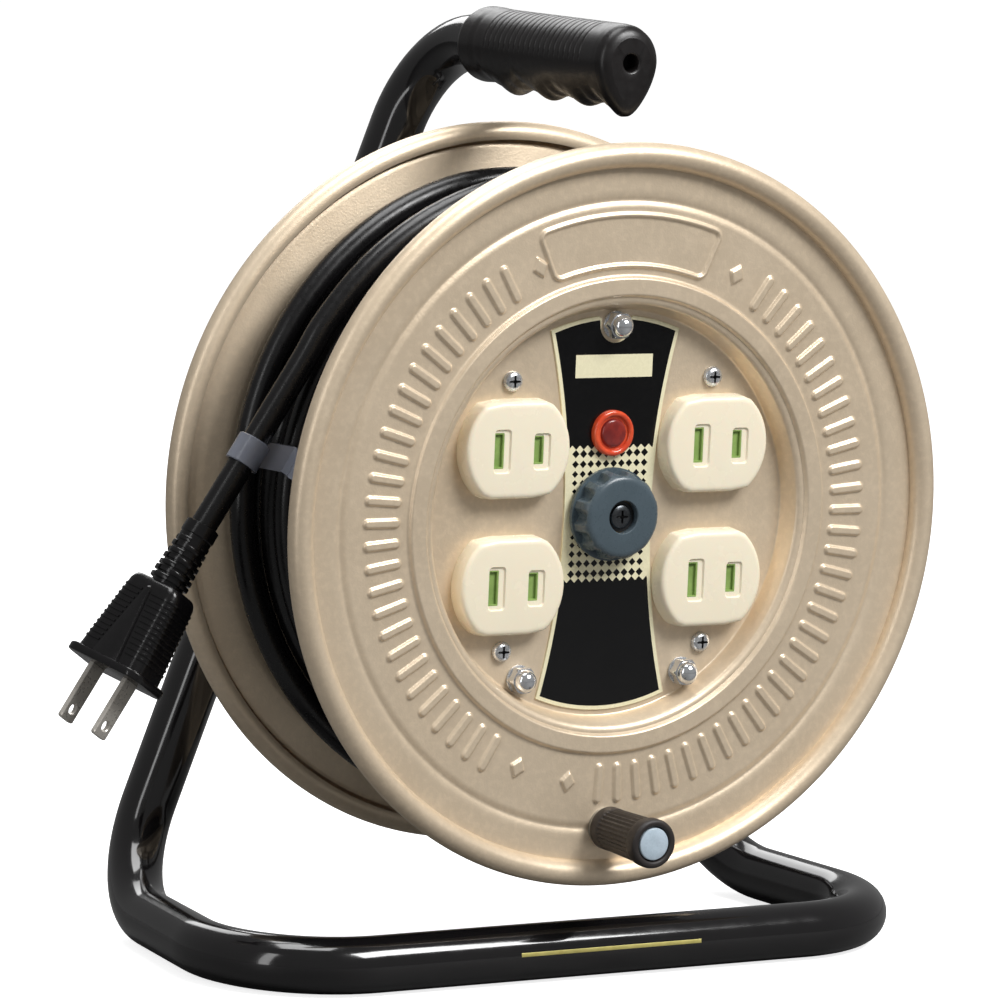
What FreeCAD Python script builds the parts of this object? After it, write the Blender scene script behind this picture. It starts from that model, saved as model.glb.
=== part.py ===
import FreeCAD, Part
import math
import os
import Sketcher
from FreeCAD import Matrix, Placement, Rotation, Vector

# Cord reel on a bent tube stand, millimetres.
# X runs to the right as seen from the outlets, Y from the outlets to the rear, Z up.
# The origin is on the floor, in the middle of the base.

os.makedirs("parts", exist_ok=True)
doc = FreeCAD.newDocument("cord_reel")
sheet = doc.addObject("Spreadsheet::Sheet", "sizes")

# Driving sizes
SIZES = [
    ("tube_od", 16.0),
    ("tube_wall", 1.5),
    ("base_front_half", 110.0),
    ("base_rear_half", 100.5),
    ("base_half_depth", 52.0),
    ("axle_height", 131.5),
    ("handle_rise", 126.5),
    ("legs_lean", 12.0),
    ("bend_top", 27.0),
    ("bend_rear", 33.0),
    ("bend_front", 36.0),
    ("short_leg_rise", 30.0),
    ("rim_front", 55.5),
    ("rim_gap", 73.5),
    ("flange_r", 105.0),
    ("bead_r", 3.7),
    ("sheet_t", 1.0),
    ("dish_depth", 6.7),
    ("band_set", 0.8),
    ("panel_r", 57.0),
    ("dish_slope", 4.0),
    ("groove_r", 88.8),
    ("barrel_r", 63.0),
    ("barrel_wall", 1.2),
    ("core_r", 78.4),
    ("cord_d", 7.5),
    ("wind_pitch", 8.6),
    ("bolt_circle_r", 53.2),
    ("bolt_d", 4.0),
    ("outlet_x", 32.5),
    ("outlet_z", 19.2),
    ("outlet_r", 17.0),
    ("outlet_half_height", 13.9),
    ("outlet_proud", 5.6),
    ("screw_x", 32.7),
    ("screw_z", 38.0),
    ("slot_pitch", 12.7),
    ("lamp_z", 22.8),
    ("lamp_r", 6.5),
    ("knob_r", 13.2),
    ("knob_length", 7.7),
    ("axle_d", 12.0),
    ("running_gap", 0.05),
    ("crank_r", 88.5),
    ("crank_length", 26.0),
    ("crank_end_r", 7.0),
    ("grip_length", 80.0),
    ("grip_r", 10.6),
    ("label_t", 0.5),
    ("blade_length", 17.5),
]
for row, (name, value) in enumerate(SIZES, start=1):
    sheet.set(f"A{row}", name)
    sheet.set(f"B{row}", str(value))
    sheet.setAlias(f"B{row}", name)
doc.recompute()


class Size:
    """A number together with the spreadsheet formula it comes from."""

    def __init__(self, value, text):
        self.value = float(value)
        self.text = text

    def join(self, other, sign, value, swap=False):
        mine, theirs = self.text, text_of(other)
        if swap:
            mine, theirs = theirs, mine
        return Size(value, f"({mine} {sign} {theirs})")

    def __add__(self, other):
        return self.join(other, "+", self.value + number(other))

    def __radd__(self, other):
        return self.join(other, "+", self.value + number(other), True)

    def __sub__(self, other):
        return self.join(other, "-", self.value - number(other))

    def __rsub__(self, other):
        return self.join(other, "-", number(other) - self.value, True)

    def __mul__(self, other):
        return self.join(other, "*", self.value * number(other))

    def __rmul__(self, other):
        return self.join(other, "*", self.value * number(other), True)

    def __truediv__(self, other):
        return self.join(other, "/", self.value / number(other))

    def __neg__(self):
        return Size(-self.value, f"(0 - {self.text})")

    def __float__(self):
        return self.value


def number(item):
    return item.value if isinstance(item, Size) else float(item)


def text_of(item):
    return item.text if isinstance(item, Size) else f"{item:.6f}"


S = {name: Size(value, f"sizes.{name}") for name, value in SIZES}


def bind(obj, prop, size):
    """Gives a property its value, and its formula where the size has one."""
    if isinstance(size, Size):
        obj.setExpression(prop, size.text)
    else:
        setattr(obj, prop, size)


TURN = {
    "z": Rotation(),
    "y": Rotation(Vector(1, 0, 0), -90),
    "x": Rotation(Vector(0, 1, 0), 90),
}


def put(obj, x=0, y=0, z=0, rotation=None):
    """Places an object; the coordinates may be sizes."""
    obj.Placement = Placement(Vector(number(x), number(y), number(z)), rotation or Rotation())
    for axis, size in (("x", x), ("y", y), ("z", z)):
        if isinstance(size, Size):
            obj.setExpression(f"Placement.Base.{axis}", size.text)
    return obj


def cylinder(name, r, h, x=0, y=0, z=0, along="y", rotation=None):
    obj = doc.addObject("Part::Cylinder", name)
    bind(obj, "Radius", r)
    bind(obj, "Height", h)
    return put(obj, x, y, z, rotation or TURN[along])


def cone(name, r1, r2, h, x=0, y=0, z=0, along="y"):
    obj = doc.addObject("Part::Cone", name)
    bind(obj, "Radius1", r1)
    bind(obj, "Radius2", r2)
    bind(obj, "Height", h)
    return put(obj, x, y, z, TURN[along])


def box(name, dx, dy, dz, x=0, y=0, z=0):
    """A box centred on x and z that starts at y and runs back."""
    obj = doc.addObject("Part::Box", name)
    bind(obj, "Length", dx)
    bind(obj, "Width", dy)
    bind(obj, "Height", dz)
    return put(obj, x - dx * 0.5, y, z - dz * 0.5)


def prism(name, r, h, x=0, y=0, z=0, sides=6, along="y"):
    obj = doc.addObject("Part::Prism", name)
    obj.Polygon = sides
    bind(obj, "Circumradius", r)
    bind(obj, "Height", h)
    return put(obj, x, y, z, TURN[along])


def ball(name, r, x=0, y=0, z=0):
    obj = doc.addObject("Part::Sphere", name)
    bind(obj, "Radius", r)
    return put(obj, x, y, z)


def ring(name, r1, r2, x=0, y=0, z=0):
    obj = doc.addObject("Part::Torus", name)
    bind(obj, "Radius1", r1)
    bind(obj, "Radius2", r2)
    return put(obj, x, y, z, TURN["y"])


def joined(name, *shapes):
    obj = doc.addObject("Part::MultiFuse", name)
    obj.Shapes = list(shapes)
    obj.Refine = True
    return obj


def shared(name, *shapes):
    obj = doc.addObject("Part::MultiCommon", name)
    obj.Shapes = list(shapes)
    return obj


def without(name, base, *tools):
    tool = tools[0] if len(tools) == 1 else joined(name + "_tools", *tools)
    obj = doc.addObject("Part::Cut", name)
    obj.Base = base
    obj.Tool = tool
    return obj


def group(name, *shapes):
    obj = doc.addObject("Part::Compound", name)
    obj.Links = list(shapes)
    return obj


def solid(name, shape):
    """A shape that neither primitives nor a sketch can give, such as a swept bend."""
    obj = doc.addObject("Part::Feature", name)
    obj.Shape = shape
    return obj


def plane_of(body, role):
    return [item for item in body.Origin.OriginFeatures if item.Role == role][0]


def arc_centre(a, b, radius):
    """The middle of the short arc from a to b, which turns left for a positive radius."""
    half = (b - a).Length * 0.5
    side = Vector(-(b - a).y, (b - a).x, 0).normalize()
    rise = math.sqrt(max(radius * radius - half * half, 0.0))
    return (a + b) * 0.5 + side * math.copysign(rise, radius)


def outline(body, name, points, role, lift=0):
    """A closed sketch: each point is (x, y) or (x, y, radius of the arc that leads to it)."""
    sketch = body.newObject("Sketcher::SketchObject", name)
    sketch.AttachmentSupport = [(plane_of(body, role), "")]
    sketch.MapMode = "FlatFace"
    if isinstance(lift, Size):
        sketch.setExpression("AttachmentOffset.Base.z", lift.text)
    else:
        sketch.AttachmentOffset = Placement(Vector(0, 0, lift), Rotation())
    spots = [Vector(number(p[0]), number(p[1]), 0) for p in points]
    count = len(points)
    starts, ends = [], []
    for i in range(count):
        j = (i + 1) % count
        bend = points[j][2] if len(points[j]) > 2 else None
        if bend is None:
            sketch.addGeometry(Part.LineSegment(spots[i], spots[j]), False)
            starts.append(1)
            ends.append(2)
            continue
        centre = arc_centre(spots[i], spots[j], number(bend))
        a0 = math.atan2(spots[i].y - centre.y, spots[i].x - centre.x)
        a1 = math.atan2(spots[j].y - centre.y, spots[j].x - centre.x)
        circle = Part.Circle(centre, Vector(0, 0, 1), abs(number(bend)))
        left = number(bend) > 0
        sketch.addGeometry(Part.ArcOfCircle(circle, *((a0, a1) if left else (a1, a0))), False)
        starts.append(1 if left else 2)
        ends.append(2 if left else 1)
    for i in range(count):
        j = (i + 1) % count
        sketch.addConstraint(Sketcher.Constraint("Coincident", i, ends[i], j, starts[j]))
    for i in range(count):
        for kind, size in (("DistanceX", points[i][0]), ("DistanceY", points[i][1])):
            rule = Sketcher.Constraint(kind, -1, 1, i, starts[i], number(size))
            index = sketch.addConstraint(rule)
            if isinstance(size, Size):
                sketch.setExpression(f"Constraints[{index}]", size.text)
        bend = points[i][2] if len(points[i]) > 2 else None
        if bend is not None:
            rule = Sketcher.Constraint("Radius", (i - 1) % count, abs(number(bend)))
            sketch.addConstraint(rule)
    return sketch


def turned(name, points, z=0, x=0):
    """A solid of revolution about a line along Y, from points (radius, y)."""
    body = doc.addObject("PartDesign::Body", name)
    sketch = outline(body, name + "_profile", points, "XY_Plane")
    feature = body.newObject("PartDesign::Revolution", name + "_turned")
    feature.Profile = sketch
    feature.ReferenceAxis = (sketch, ["V_Axis"])
    feature.Angle = 360
    body.Tip = feature
    return put(body, x, 0, z)


def plate(name, points, y, thickness, x=0, z=0):
    """A flat piece across the axle: outline points are (x, z), its front face is at y."""
    body = doc.addObject("PartDesign::Body", name)
    sketch = outline(body, name + "_outline", points, "XZ_Plane")
    feature = body.newObject("PartDesign::Pad", name + "_pad")
    feature.Profile = sketch
    bind(feature, "Length", thickness)
    body.Tip = feature
    doc.recompute()
    feature.Reversed = feature.Shape.BoundBox.YMin < -0.001
    return put(body, x, y, z)


# Bent tubes, wires and cords

def route(points, radii):
    """A path of straight runs with a tangent arc at each inner point."""
    edges = []
    start = points[0]
    for before, corner, after, radius in zip(points, points[1:], points[2:], radii):
        a = (before - corner).normalize()
        b = (after - corner).normalize()
        half = a.getAngle(b) / 2
        reach = radius / math.tan(half)
        middle = (a + b).normalize()
        centre = corner + middle * (radius / math.sin(half))
        first, last = corner + a * reach, corner + b * reach
        if (first - start).Length > 1e-6:
            edges.append(Part.LineSegment(start, first).toShape())
        edges.append(Part.Arc(first, centre - middle * radius, last).toShape())
        start = last
    edges.append(Part.LineSegment(start, points[-1]).toShape())
    return edges


def swept(edges, radius):
    """A round bar along a path of edges."""
    path = Part.Wire(edges)
    first = edges[0]
    start = first.valueAt(first.FirstParameter)
    heading = first.tangentAt(first.FirstParameter)
    circle = Part.Wire(Part.Circle(start, heading, radius).toShape())
    return path.makePipeShell([circle], True, False)


# Levels along the axle, from the plane of the front rim
front = -S["rim_front"]
panel = front + S["band_set"] + S["dish_depth"]
panel_back = panel + S["sheet_t"]
rear = front + S["rim_gap"]
rear_panel = rear - S["band_set"] - S["dish_depth"]
rear_panel_front = rear_panel - S["sheet_t"]
axle = S["axle_height"]
nodes = []


def keep(obj, label=None):
    """Marks a piece for export under its own name."""
    obj.Label = label or obj.Name
    nodes.append(obj)
    return obj


# Stand: one tube from the handle down the left leg, round the base and up the right leg
SLIP = 0.12
tube_start = front + 10.0


def stand_points():
    low = number(S["tube_od"]) / 2
    high = number(axle) + number(S["handle_rise"])
    top_y = number(S["base_half_depth"]) + number(S["legs_lean"])
    back = number(S["base_half_depth"])
    rear_x = number(S["base_rear_half"])
    front_x = number(S["base_front_half"])
    end_z = number(axle) + number(S["short_leg_rise"])
    share = (end_z - low) / (high - low)
    return [
        Vector(0, number(tube_start), high),
        Vector(0, top_y, high),
        Vector(-rear_x, back, low),
        Vector(-front_x, -back, low),
        Vector(front_x, -back, low),
        Vector(rear_x, back, low),
        Vector(rear_x * (1 - share), back + number(S["legs_lean"]) * share, end_z),
    ]


stand_path = stand_points()
stand_bends = [
    number(S["bend_top"]),
    number(S["bend_rear"]),
    number(S["bend_front"]),
    number(S["bend_front"]),
    number(S["bend_rear"]),
]
outer_bar = swept(route(stand_path, stand_bends), number(S["tube_od"]) / 2)
inner_bar = swept(route(stand_path, stand_bends), number(S["tube_od"]) / 2 - number(S["tube_wall"]))
stand_tube = keep(solid("stand_tube", outer_bar.cut(inner_bar)))

leg_top = stand_path[-1]
leg_way = (stand_path[-1] - stand_path[-2]).normalize()
plug_r = number(S["tube_od"]) / 2 - number(S["tube_wall"]) - 0.02
cap_head = Part.makeCylinder(number(S["tube_od"]) / 2, 2.0, leg_top, leg_way)
cap_stem = Part.makeCylinder(plug_r, 12.0, leg_top - leg_way * 12.0, leg_way)
keep(solid("leg_end_cap", cap_head.fuse(cap_stem)))

# Cross channel on the legs, carrying the fixed axle
bracket_front = front + 102.5
bracket_t = 3.0
bracket_half = 20.0
channel = without(
    "channel_blank",
    box("channel_block", 126.0, 14.0, bracket_half * 2, 0, bracket_front, axle),
    box("channel_hollow", 130.0, 12.0, bracket_half * 2 - 2 * bracket_t, 0, bracket_front + bracket_t, axle),
)
leg_fill = solid("leg_fill", outer_bar.copy())
bracket = keep(
    without(
        "axle_bracket",
        channel,
        leg_fill,
        cylinder("bracket_bore", S["axle_d"] * 0.5 + 0.02, 30.0, 0, bracket_front - 5, axle),
    )
)

# Weld beads where the channel meets the right leg, and their mirror images on the left
weld_rise = 1.6
weld_wide = 3.2
leg_low = stand_path[5]
doc.recompute()
beads = []
for level in (-1, 1):
    reach = (number(axle) + level * bracket_half - leg_low.z) / leg_way.z
    place = leg_low + leg_way * reach
    collar = Part.makeCylinder(
        number(S["tube_od"]) / 2 + weld_rise,
        weld_wide,
        place - leg_way * (weld_wide / 2) * (1 - level),
        leg_way,
    )
    collar = collar.cut(outer_bar).cut(bracket.Shape)
    window = Part.makeBox(60, 60, 60, Vector(place.x - 30, place.y - 60, place.z - 30))
    bead = max(collar.common(window).Solids, key=lambda piece: piece.Volume)
    beads += [bead, bead.mirror(Vector(), Vector(1, 0, 0))]
keep(solid("bracket_welds", Part.makeCompound(beads)))

# Fixed axle with its spacer, rear nut and front stud
axle_r = S["axle_d"] * 0.5
axle_front = panel - 1.9
stud_r = 4.0
stud_front = panel - 6.7
axle_back = bracket_front + bracket_t + 9.0
axle_rod = joined(
    "axle_rod",
    cylinder("axle_main", axle_r, axle_back - axle_front, 0, axle_front, axle),
    cylinder("axle_stud", stud_r, axle_front - stud_front + 0.5, 0, stud_front, axle),
)
keep(without("axle_shaft", axle_rod, cylinder("axle_tap", 1.65, 14.0, 0, stud_front - 0.5, axle)))

collar_y = rear_panel + 1.3
keep(
    without(
        "thrust_washer",
        cylinder("thrust_disc", 12.0, 1.5, 0, collar_y, axle),
        cylinder("thrust_hole", axle_r + 0.02, 4.0, 0, collar_y - 1, axle),
    )
)
keep(
    without(
        "axle_spacer",
        cylinder("spacer_bar", 9.5, bracket_front - collar_y - 1.5, 0, collar_y + 1.5, axle),
        cylinder("spacer_hole", axle_r + 0.02, 60.0, 0, collar_y, axle),
    )
)
keep(
    without(
        "axle_rear_washer",
        cylinder("rear_washer_disc", 11.5, 1.5, 0, bracket_front + bracket_t, axle),
        cylinder("rear_washer_hole", axle_r + 0.02, 4.0, 0, bracket_front + bracket_t - 1, axle),
    )
)
keep(
    without(
        "axle_rear_nut",
        prism("rear_nut_hex", 10.4, 6.0, 0, bracket_front + bracket_t + 1.5, axle),
        cylinder("rear_nut_hole", axle_r + 0.02, 12.0, 0, bracket_front + bracket_t, axle),
    )
)

# Moulded hand grip with ribs above and finger swells below
grip_z = axle + S["handle_rise"]
grip_front = front + 5.0
grip_end = grip_front + S["grip_length"]


def grip_shape():
    start = number(grip_front)
    length = number(S["grip_length"])
    z = number(grip_z)
    r = number(S["grip_r"])

    def section(y, drop, wide, high):
        points = []
        for i in range(24):
            turn = 2 * math.pi * i / 24
            px = wide * math.sin(turn)
            pz = high * math.cos(turn)
            if pz < 0:
                lean = (-pz / high) ** 1.5
                px = px * (1 - 0.28 * lean * max(0.0, (drop - high) / 5.0))
                pz = pz * (drop / high)
            points.append(Vector(px, y, z + pz))
        curve = Part.BSplineCurve()
        curve.interpolate(points, PeriodicFlag=True)
        return Part.Wire(curve.toShape())

    # distance from the front end, drop below the axis, half width, rise above the axis
    steps = [
        (0.0, 13.0, 7.6, 8.2),
        (1.3, 15.2, 9.0, 9.8),
        (4.0, 14.4, r - 0.9, r),
        (10.0, 11.3, r - 0.9, r),
        (21.8, 13.6, r - 0.9, r),
        (31.6, 11.0, r - 0.9, r),
        (41.4, 13.6, r - 0.9, r),
        (51.0, 10.3, r - 0.7, r),
        (61.0, 13.6, r - 0.5, r),
        (70.5, r - 0.6, r - 0.3, r + 0.1),
        (length - 1.6, r + 0.4, r + 0.4, r + 0.4),
        (length, r - 0.8, r - 0.8, r - 0.8),
    ]
    wires = [section(start + s, d, w, h) for s, d, w, h in steps]
    return Part.makeLoft(wires, True, False)


grip_blank = solid("grip_blank", grip_shape())
grip_socket = cylinder(
    "grip_socket",
    S["tube_od"] * 0.5 + SLIP,
    S["grip_length"],
    0,
    tube_start - 0.05,
    grip_z,
)
grip_eye = cylinder("grip_eye", 2.5, 12.0, 0, grip_front - 2, grip_z)
grip_cuts = [grip_socket, grip_eye]
rib_pitch = 2.75
for index in range(20):
    cut_y = grip_front + 12.0 + index * rib_pitch
    groove = without(
        f"rib_groove_{index}",
        cylinder(f"rib_disc_{index}", S["grip_r"] + 2.0, 1.2, 0, cut_y, grip_z),
        cylinder(f"rib_core_{index}", S["grip_r"] - 0.75, 3.2, 0, cut_y - 1, grip_z),
        box(f"rib_floor_{index}", 40.0, 3.2, 24.0, 0, cut_y - 1, grip_z - 12.0),
    )
    grip_cuts.append(groove)
keep(without("hand_grip", grip_blank, *grip_cuts))


# Stamped flanges: dished panel, raised ring round it, band with a groove, rolled rim
GROOVE_BACK = 0.75
RING_RISE = 1.2


def flange_profile(face, back):
    """The section of a flange; back is +1 when its inner side is towards +Y."""
    t = S["sheet_t"]
    band = S["band_set"]
    deep = S["band_set"] + S["dish_depth"]
    rim = S["flange_r"] - S["bead_r"]
    gr = S["groove_r"]
    br = S["bead_r"]
    foot = S["panel_r"] + S["dish_slope"] + 0.6

    def at(r, u, bend=None):
        y = face + u if back > 0 else face - u
        if bend is None:
            return (r, y)
        return (r, y, bend * back)

    return [
        at(9.3, deep),
        at(S["panel_r"] + 0.2, deep),
        at(S["panel_r"] + 0.85, deep - 0.45, -0.7),
        at(S["panel_r"] + S["dish_slope"] - 1.6, band + 1.3),
        at(foot, band, 2.2),
        at(foot + 1.3, band - RING_RISE),
        at(foot + 5.0, band - RING_RISE),
        at(foot + 6.2, band),
        at(gr - 1.2, band),
        at(gr, band + 0.7),
        at(gr + 1.2, band),
        at(rim - br + 0.25, band),
        at(rim, 0 - br, 4.2),
        at(rim + br, 0, 3.7),
        at(rim, br, 3.7),
        at(rim - br * 0.72, br * 0.70, 3.7),
        at(rim - br * 0.52, br * 0.50),
        at(rim, br - t, -2.7),
        at(rim + br - t, 0, -2.7),
        at(rim, t - br, -2.7),
        at(rim - br + t + 0.2, band + t * 0.35, -3.2),
        at(rim - br - 0.1, band + t),
        at(gr + 1.5, band + t),
        at(gr, band + t + GROOVE_BACK),
        at(gr - 1.5, band + t),
        at(S["panel_r"] + S["dish_slope"] + 1.0, band + t),
        at(S["panel_r"] + S["dish_slope"] - 1.0, band + t + 1.1, -1.9),
        at(S["panel_r"] + 1.9, deep - 0.4),
        at(S["panel_r"] - 0.5, deep + t, 2.6),
        at(9.3, deep + t),
    ]


def spot(radius, angle):
    """X and Z of a point on a circle about the axle, as sizes."""
    turn = math.radians(angle)
    return radius * math.cos(turn), axle + radius * math.sin(turn)


BOLT_ANGLES = (90, -60, -120)
QUARTERS = [("upper_left", -1, 1), ("upper_right", 1, 1), ("lower_left", -1, -1), ("lower_right", 1, -1)]


def hole(name, r, x, y, z):
    return cylinder(name, r, 6.0, x, y - 3.0, z)


front_blank = turned("front_flange_sheet", flange_profile(front, 1), axle)

marks = []
mark_y = front + S["band_set"] - 0.5


for index, angle in enumerate((112.5, 62.5, -100.0, -113.0)):
    x, z = spot(76.0, angle)
    stud = doc.addObject("Part::Prism", f"lozenge_{index}")
    stud.Polygon = 4
    stud.Circumradius = 3.2
    stud.Height = 0.9
    put(stud, x, mark_y, z, TURN["y"].multiply(Rotation(Vector(0, 0, 1), angle)))
    marks.append(stud)


def cartouche(name, r1, r2, half, y, depth):
    """A raised sector of a ring about the axle, over the top."""
    turn = math.radians(half)
    points = [
        (-(r1 * math.sin(turn)), r1 * math.cos(turn)),
        (r1 * math.sin(turn), r1 * math.cos(turn), -number(r1)),
        (r2 * math.sin(turn), r2 * math.cos(turn)),
        (-(r2 * math.sin(turn)), r2 * math.cos(turn), number(r2)),
    ]
    return plate(name, points, y, depth, 0, axle)


cartouche_frame = without(
    "cartouche_frame",
    cartouche("cartouche_outer", 70.3, 85.2, 20.5, mark_y, 0.9),
    cartouche("cartouche_inner", 71.2, 84.3, 19.8, mark_y - 1, 2.9),
)
marks.append(cartouche_frame)

front_holes = []
for index, angle in enumerate(BOLT_ANGLES):
    x, z = spot(S["bolt_circle_r"], angle)
    front_holes.append(hole(f"front_bolt_hole_{index}", S["bolt_d"] * 0.5 + 0.15, x, panel, z))
for name, sx, sz in QUARTERS:
    x = sx * S["outlet_x"]
    z = axle + sz * S["outlet_z"]
    window = shared(
        f"outlet_window_{name}",
        cylinder(f"outlet_window_round_{name}", S["outlet_r"] + 0.1, 6.0, x, panel - 3, z),
        box(f"outlet_window_flat_{name}", 60.0, 6.0, S["outlet_half_height"] * 2 + 0.2, x, panel - 3, z),
    )
    front_holes.append(window)
    front_holes.append(
        hole(f"outlet_screw_hole_{name}", 1.7, sx * S["screw_x"], panel, axle + sz * S["screw_z"])
    )
front_holes.append(hole("lamp_hole", 5.1, 0, panel, axle + S["lamp_z"]))
crank_x, crank_z = spot(S["crank_r"], -90)
front_holes.append(hole("crank_hole", 3.0, crank_x, front + S["band_set"], crank_z))
front_flange = keep(
    without("front_flange", joined("front_flange_marked", front_blank, *marks), *front_holes)
)

rear_blank = turned("rear_flange_sheet", flange_profile(rear, -1), axle)
rear_holes = []
for index, angle in enumerate(BOLT_ANGLES):
    x, z = spot(S["bolt_circle_r"], angle)
    rear_holes.append(hole(f"rear_bolt_hole_{index}", S["bolt_d"] * 0.5 + 0.15, x, rear_panel, z))
keep(without("rear_flange", rear_blank, *rear_holes))

# Winding barrel between the flanges, with the cord's inlet
barrel_front = front + S["band_set"] + S["sheet_t"]
barrel_length = rear - S["band_set"] - S["sheet_t"] - barrel_front
INLET_ANGLE = -40
inlet_y = front + 36.0


def radial(name, r, length, start):
    """A round bar along the inlet's radius, from a distance to the axle outwards."""
    turn = math.radians(INLET_ANGLE)
    x = start * math.cos(turn)
    z = axle + start * math.sin(turn)
    way = Rotation(Vector(0, 0, 1), Vector(math.cos(turn), 0, math.sin(turn)))
    return cylinder(name, r, length, x, inlet_y, z, rotation=way)


barrel_tube = without(
    "barrel_tube",
    cylinder("barrel_outer", S["barrel_r"], barrel_length, 0, barrel_front, axle),
    cylinder(
        "barrel_inner", S["barrel_r"] - S["barrel_wall"], barrel_length + 4, 0, barrel_front - 2, axle
    ),
)
keep(without("drum_barrel", barrel_tube, radial("inlet_hole", 6.0, 12.0, S["barrel_r"] - 6)))
gland = joined(
    "gland_body",
    radial("gland_neck", 5.95, 5.2, S["barrel_r"] - S["barrel_wall"] - 2.0),
    radial("gland_inner_lip", 8.0, 2.0, S["barrel_r"] - S["barrel_wall"] - 2.1),
    radial("gland_outer_lip", 8.0, 2.0, S["barrel_r"] + 0.1),
)
gland_cut = without(
    "gland_trimmed",
    gland,
    without(
        "gland_wall",
        cylinder("gland_wall_outer", S["barrel_r"], 30.0, 0, inlet_y - 15, axle),
        cylinder("gland_wall_inner", S["barrel_r"] - S["barrel_wall"], 34.0, 0, inlet_y - 17, axle),
        radial("gland_wall_hole", 5.95, 12.0, S["barrel_r"] - 6),
    ),
)
keep(without("cord_gland", gland_cut, radial("gland_bore", S["cord_d"] * 0.5 + 0.02, 20.0, 56.0)))

# Wound cord: plain inner layers and one visible outer layer
WIND_TURNS = 7
WIND_FROM = 20.0
wind_r = S["core_r"] + S["cord_d"] * 0.5 + 0.05
wind_start = front + S["band_set"] + S["sheet_t"] + S["cord_d"] * 0.5 + 0.4
wind_end = wind_start + S["wind_pitch"] * WIND_TURNS


def biarc(p0, t0, p1, t1):
    """Two tangent arcs from p0 to p1 that start along t0 and end along t1."""
    v = p1 - p0
    both = t0 + t1
    a = 2 * (t0.dot(t1) - 1)
    b = -2 * v.dot(both)
    c = v.dot(v)
    if abs(a) < 1e-9:
        d = -c / b
    else:
        root = math.sqrt(b * b - 4 * a * c)
        d = max((-b - root) / (2 * a), (-b + root) / (2 * a))
    middle = (p0 + t0 * d + p1 - t1 * d) * 0.5
    arcs = []
    for start, way, end in ((p0, t0, middle), (middle, None, p1)):
        chord = end - start
        if way is None:
            way = (p1 - t1 * d - middle).normalize()
        side = way - chord * (way.dot(chord) / chord.dot(chord))
        angle = way.getAngle(chord)
        crown = start + chord * 0.5 + side.normalize() * (chord.Length * 0.5 * math.tan(angle * 0.5))
        arcs.append(Part.Arc(start, crown, end).toShape())
    return arcs


def wind_point(turns):
    """Place and heading on the outer layer after so many turns."""
    r, pitch = number(wind_r), number(S["wind_pitch"])
    angle = math.radians(WIND_FROM) + turns * 2 * math.pi
    place = Vector(r * math.cos(angle), number(wind_start) + pitch * turns, number(axle) + r * math.sin(angle))
    way = Vector(-r * 2 * math.pi * math.sin(angle), pitch, r * 2 * math.pi * math.cos(angle))
    return place, way.normalize()


def winding_edges():
    run = number(S["cord_d"])
    first, first_way = wind_point(0)
    last, last_way = wind_point(WIND_TURNS)
    edges = [Part.LineSegment(first - first_way * run, first).toShape()]
    for quarter in range(WIND_TURNS * 4):
        p0, t0 = wind_point(quarter / 4)
        p1, t1 = wind_point((quarter + 1) / 4)
        edges += biarc(p0, t0, p1, t1)
    edges.append(Part.LineSegment(last, last + last_way * run).toShape())
    return edges


def least_gap(edges, diameter, per_turn):
    """The least distance between the surfaces of two turns, on points along the path."""
    spots = []
    for edge in edges:
        spots += [edge.valueAt(u) for u in even(edge, 6)]
    least = 1e9
    for i, here in enumerate(spots):
        for there in spots[i + per_turn // 2 :]:
            least = min(least, (here - there).Length - diameter)
    return least


def even(edge, count):
    first, last = edge.FirstParameter, edge.LastParameter
    return [first + (last - first) * k / count for k in range(count)]


wind_edges = winding_edges()
wound = keep(solid("cord_outer_layer", swept(wind_edges, number(S["cord_d"]) / 2)))
print("winding: least gap between turns", round(least_gap(wind_edges, number(S["cord_d"]), 48), 3))

core_front = wind_start - S["cord_d"] * 0.5 + 0.4
core_length = wind_end - wind_start + S["cord_d"] - 0.8
core_blank = without(
    "core_blank",
    cylinder("core_outer", S["core_r"], core_length, 0, core_front, axle),
    cylinder("core_inner", S["barrel_r"] + 0.02, core_length + 4, 0, core_front - 2, axle),
    radial("core_pocket", 8.3, 4.0, S["barrel_r"] - 1.0),
    radial("core_lead_way", S["cord_d"] * 0.5 + 0.05, 12.0, S["barrel_r"]),
)


def climb(name, turns, ahead):
    """The stretch of cord that climbs from the layer below to the end of the outer layer."""
    place, way = wind_point(turns)
    d = number(S["cord_d"])
    near = place + way * (d * ahead)
    far = place + way * ((d + 14.0) * ahead)
    inward = Vector(-near.x, 0, number(axle) - near.z).normalize()
    low = inward * (d * 0.5 + 1.5)
    high = inward * (-d * 0.5)
    corners = [near + high, near + low, far + low, near + high]
    face = Part.Face(Part.makePolygon(corners))
    broad = way.cross(inward).normalize() * (d * 0.96)
    block = face.extrude(broad)
    block.translate(broad * -0.5)
    return solid(name, block)


keep(
    joined(
        "cord_inner_layers",
        core_blank,
        climb("climb_front", 0, -1),
        climb("climb_rear", WIND_TURNS, 1),
    )
)

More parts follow.
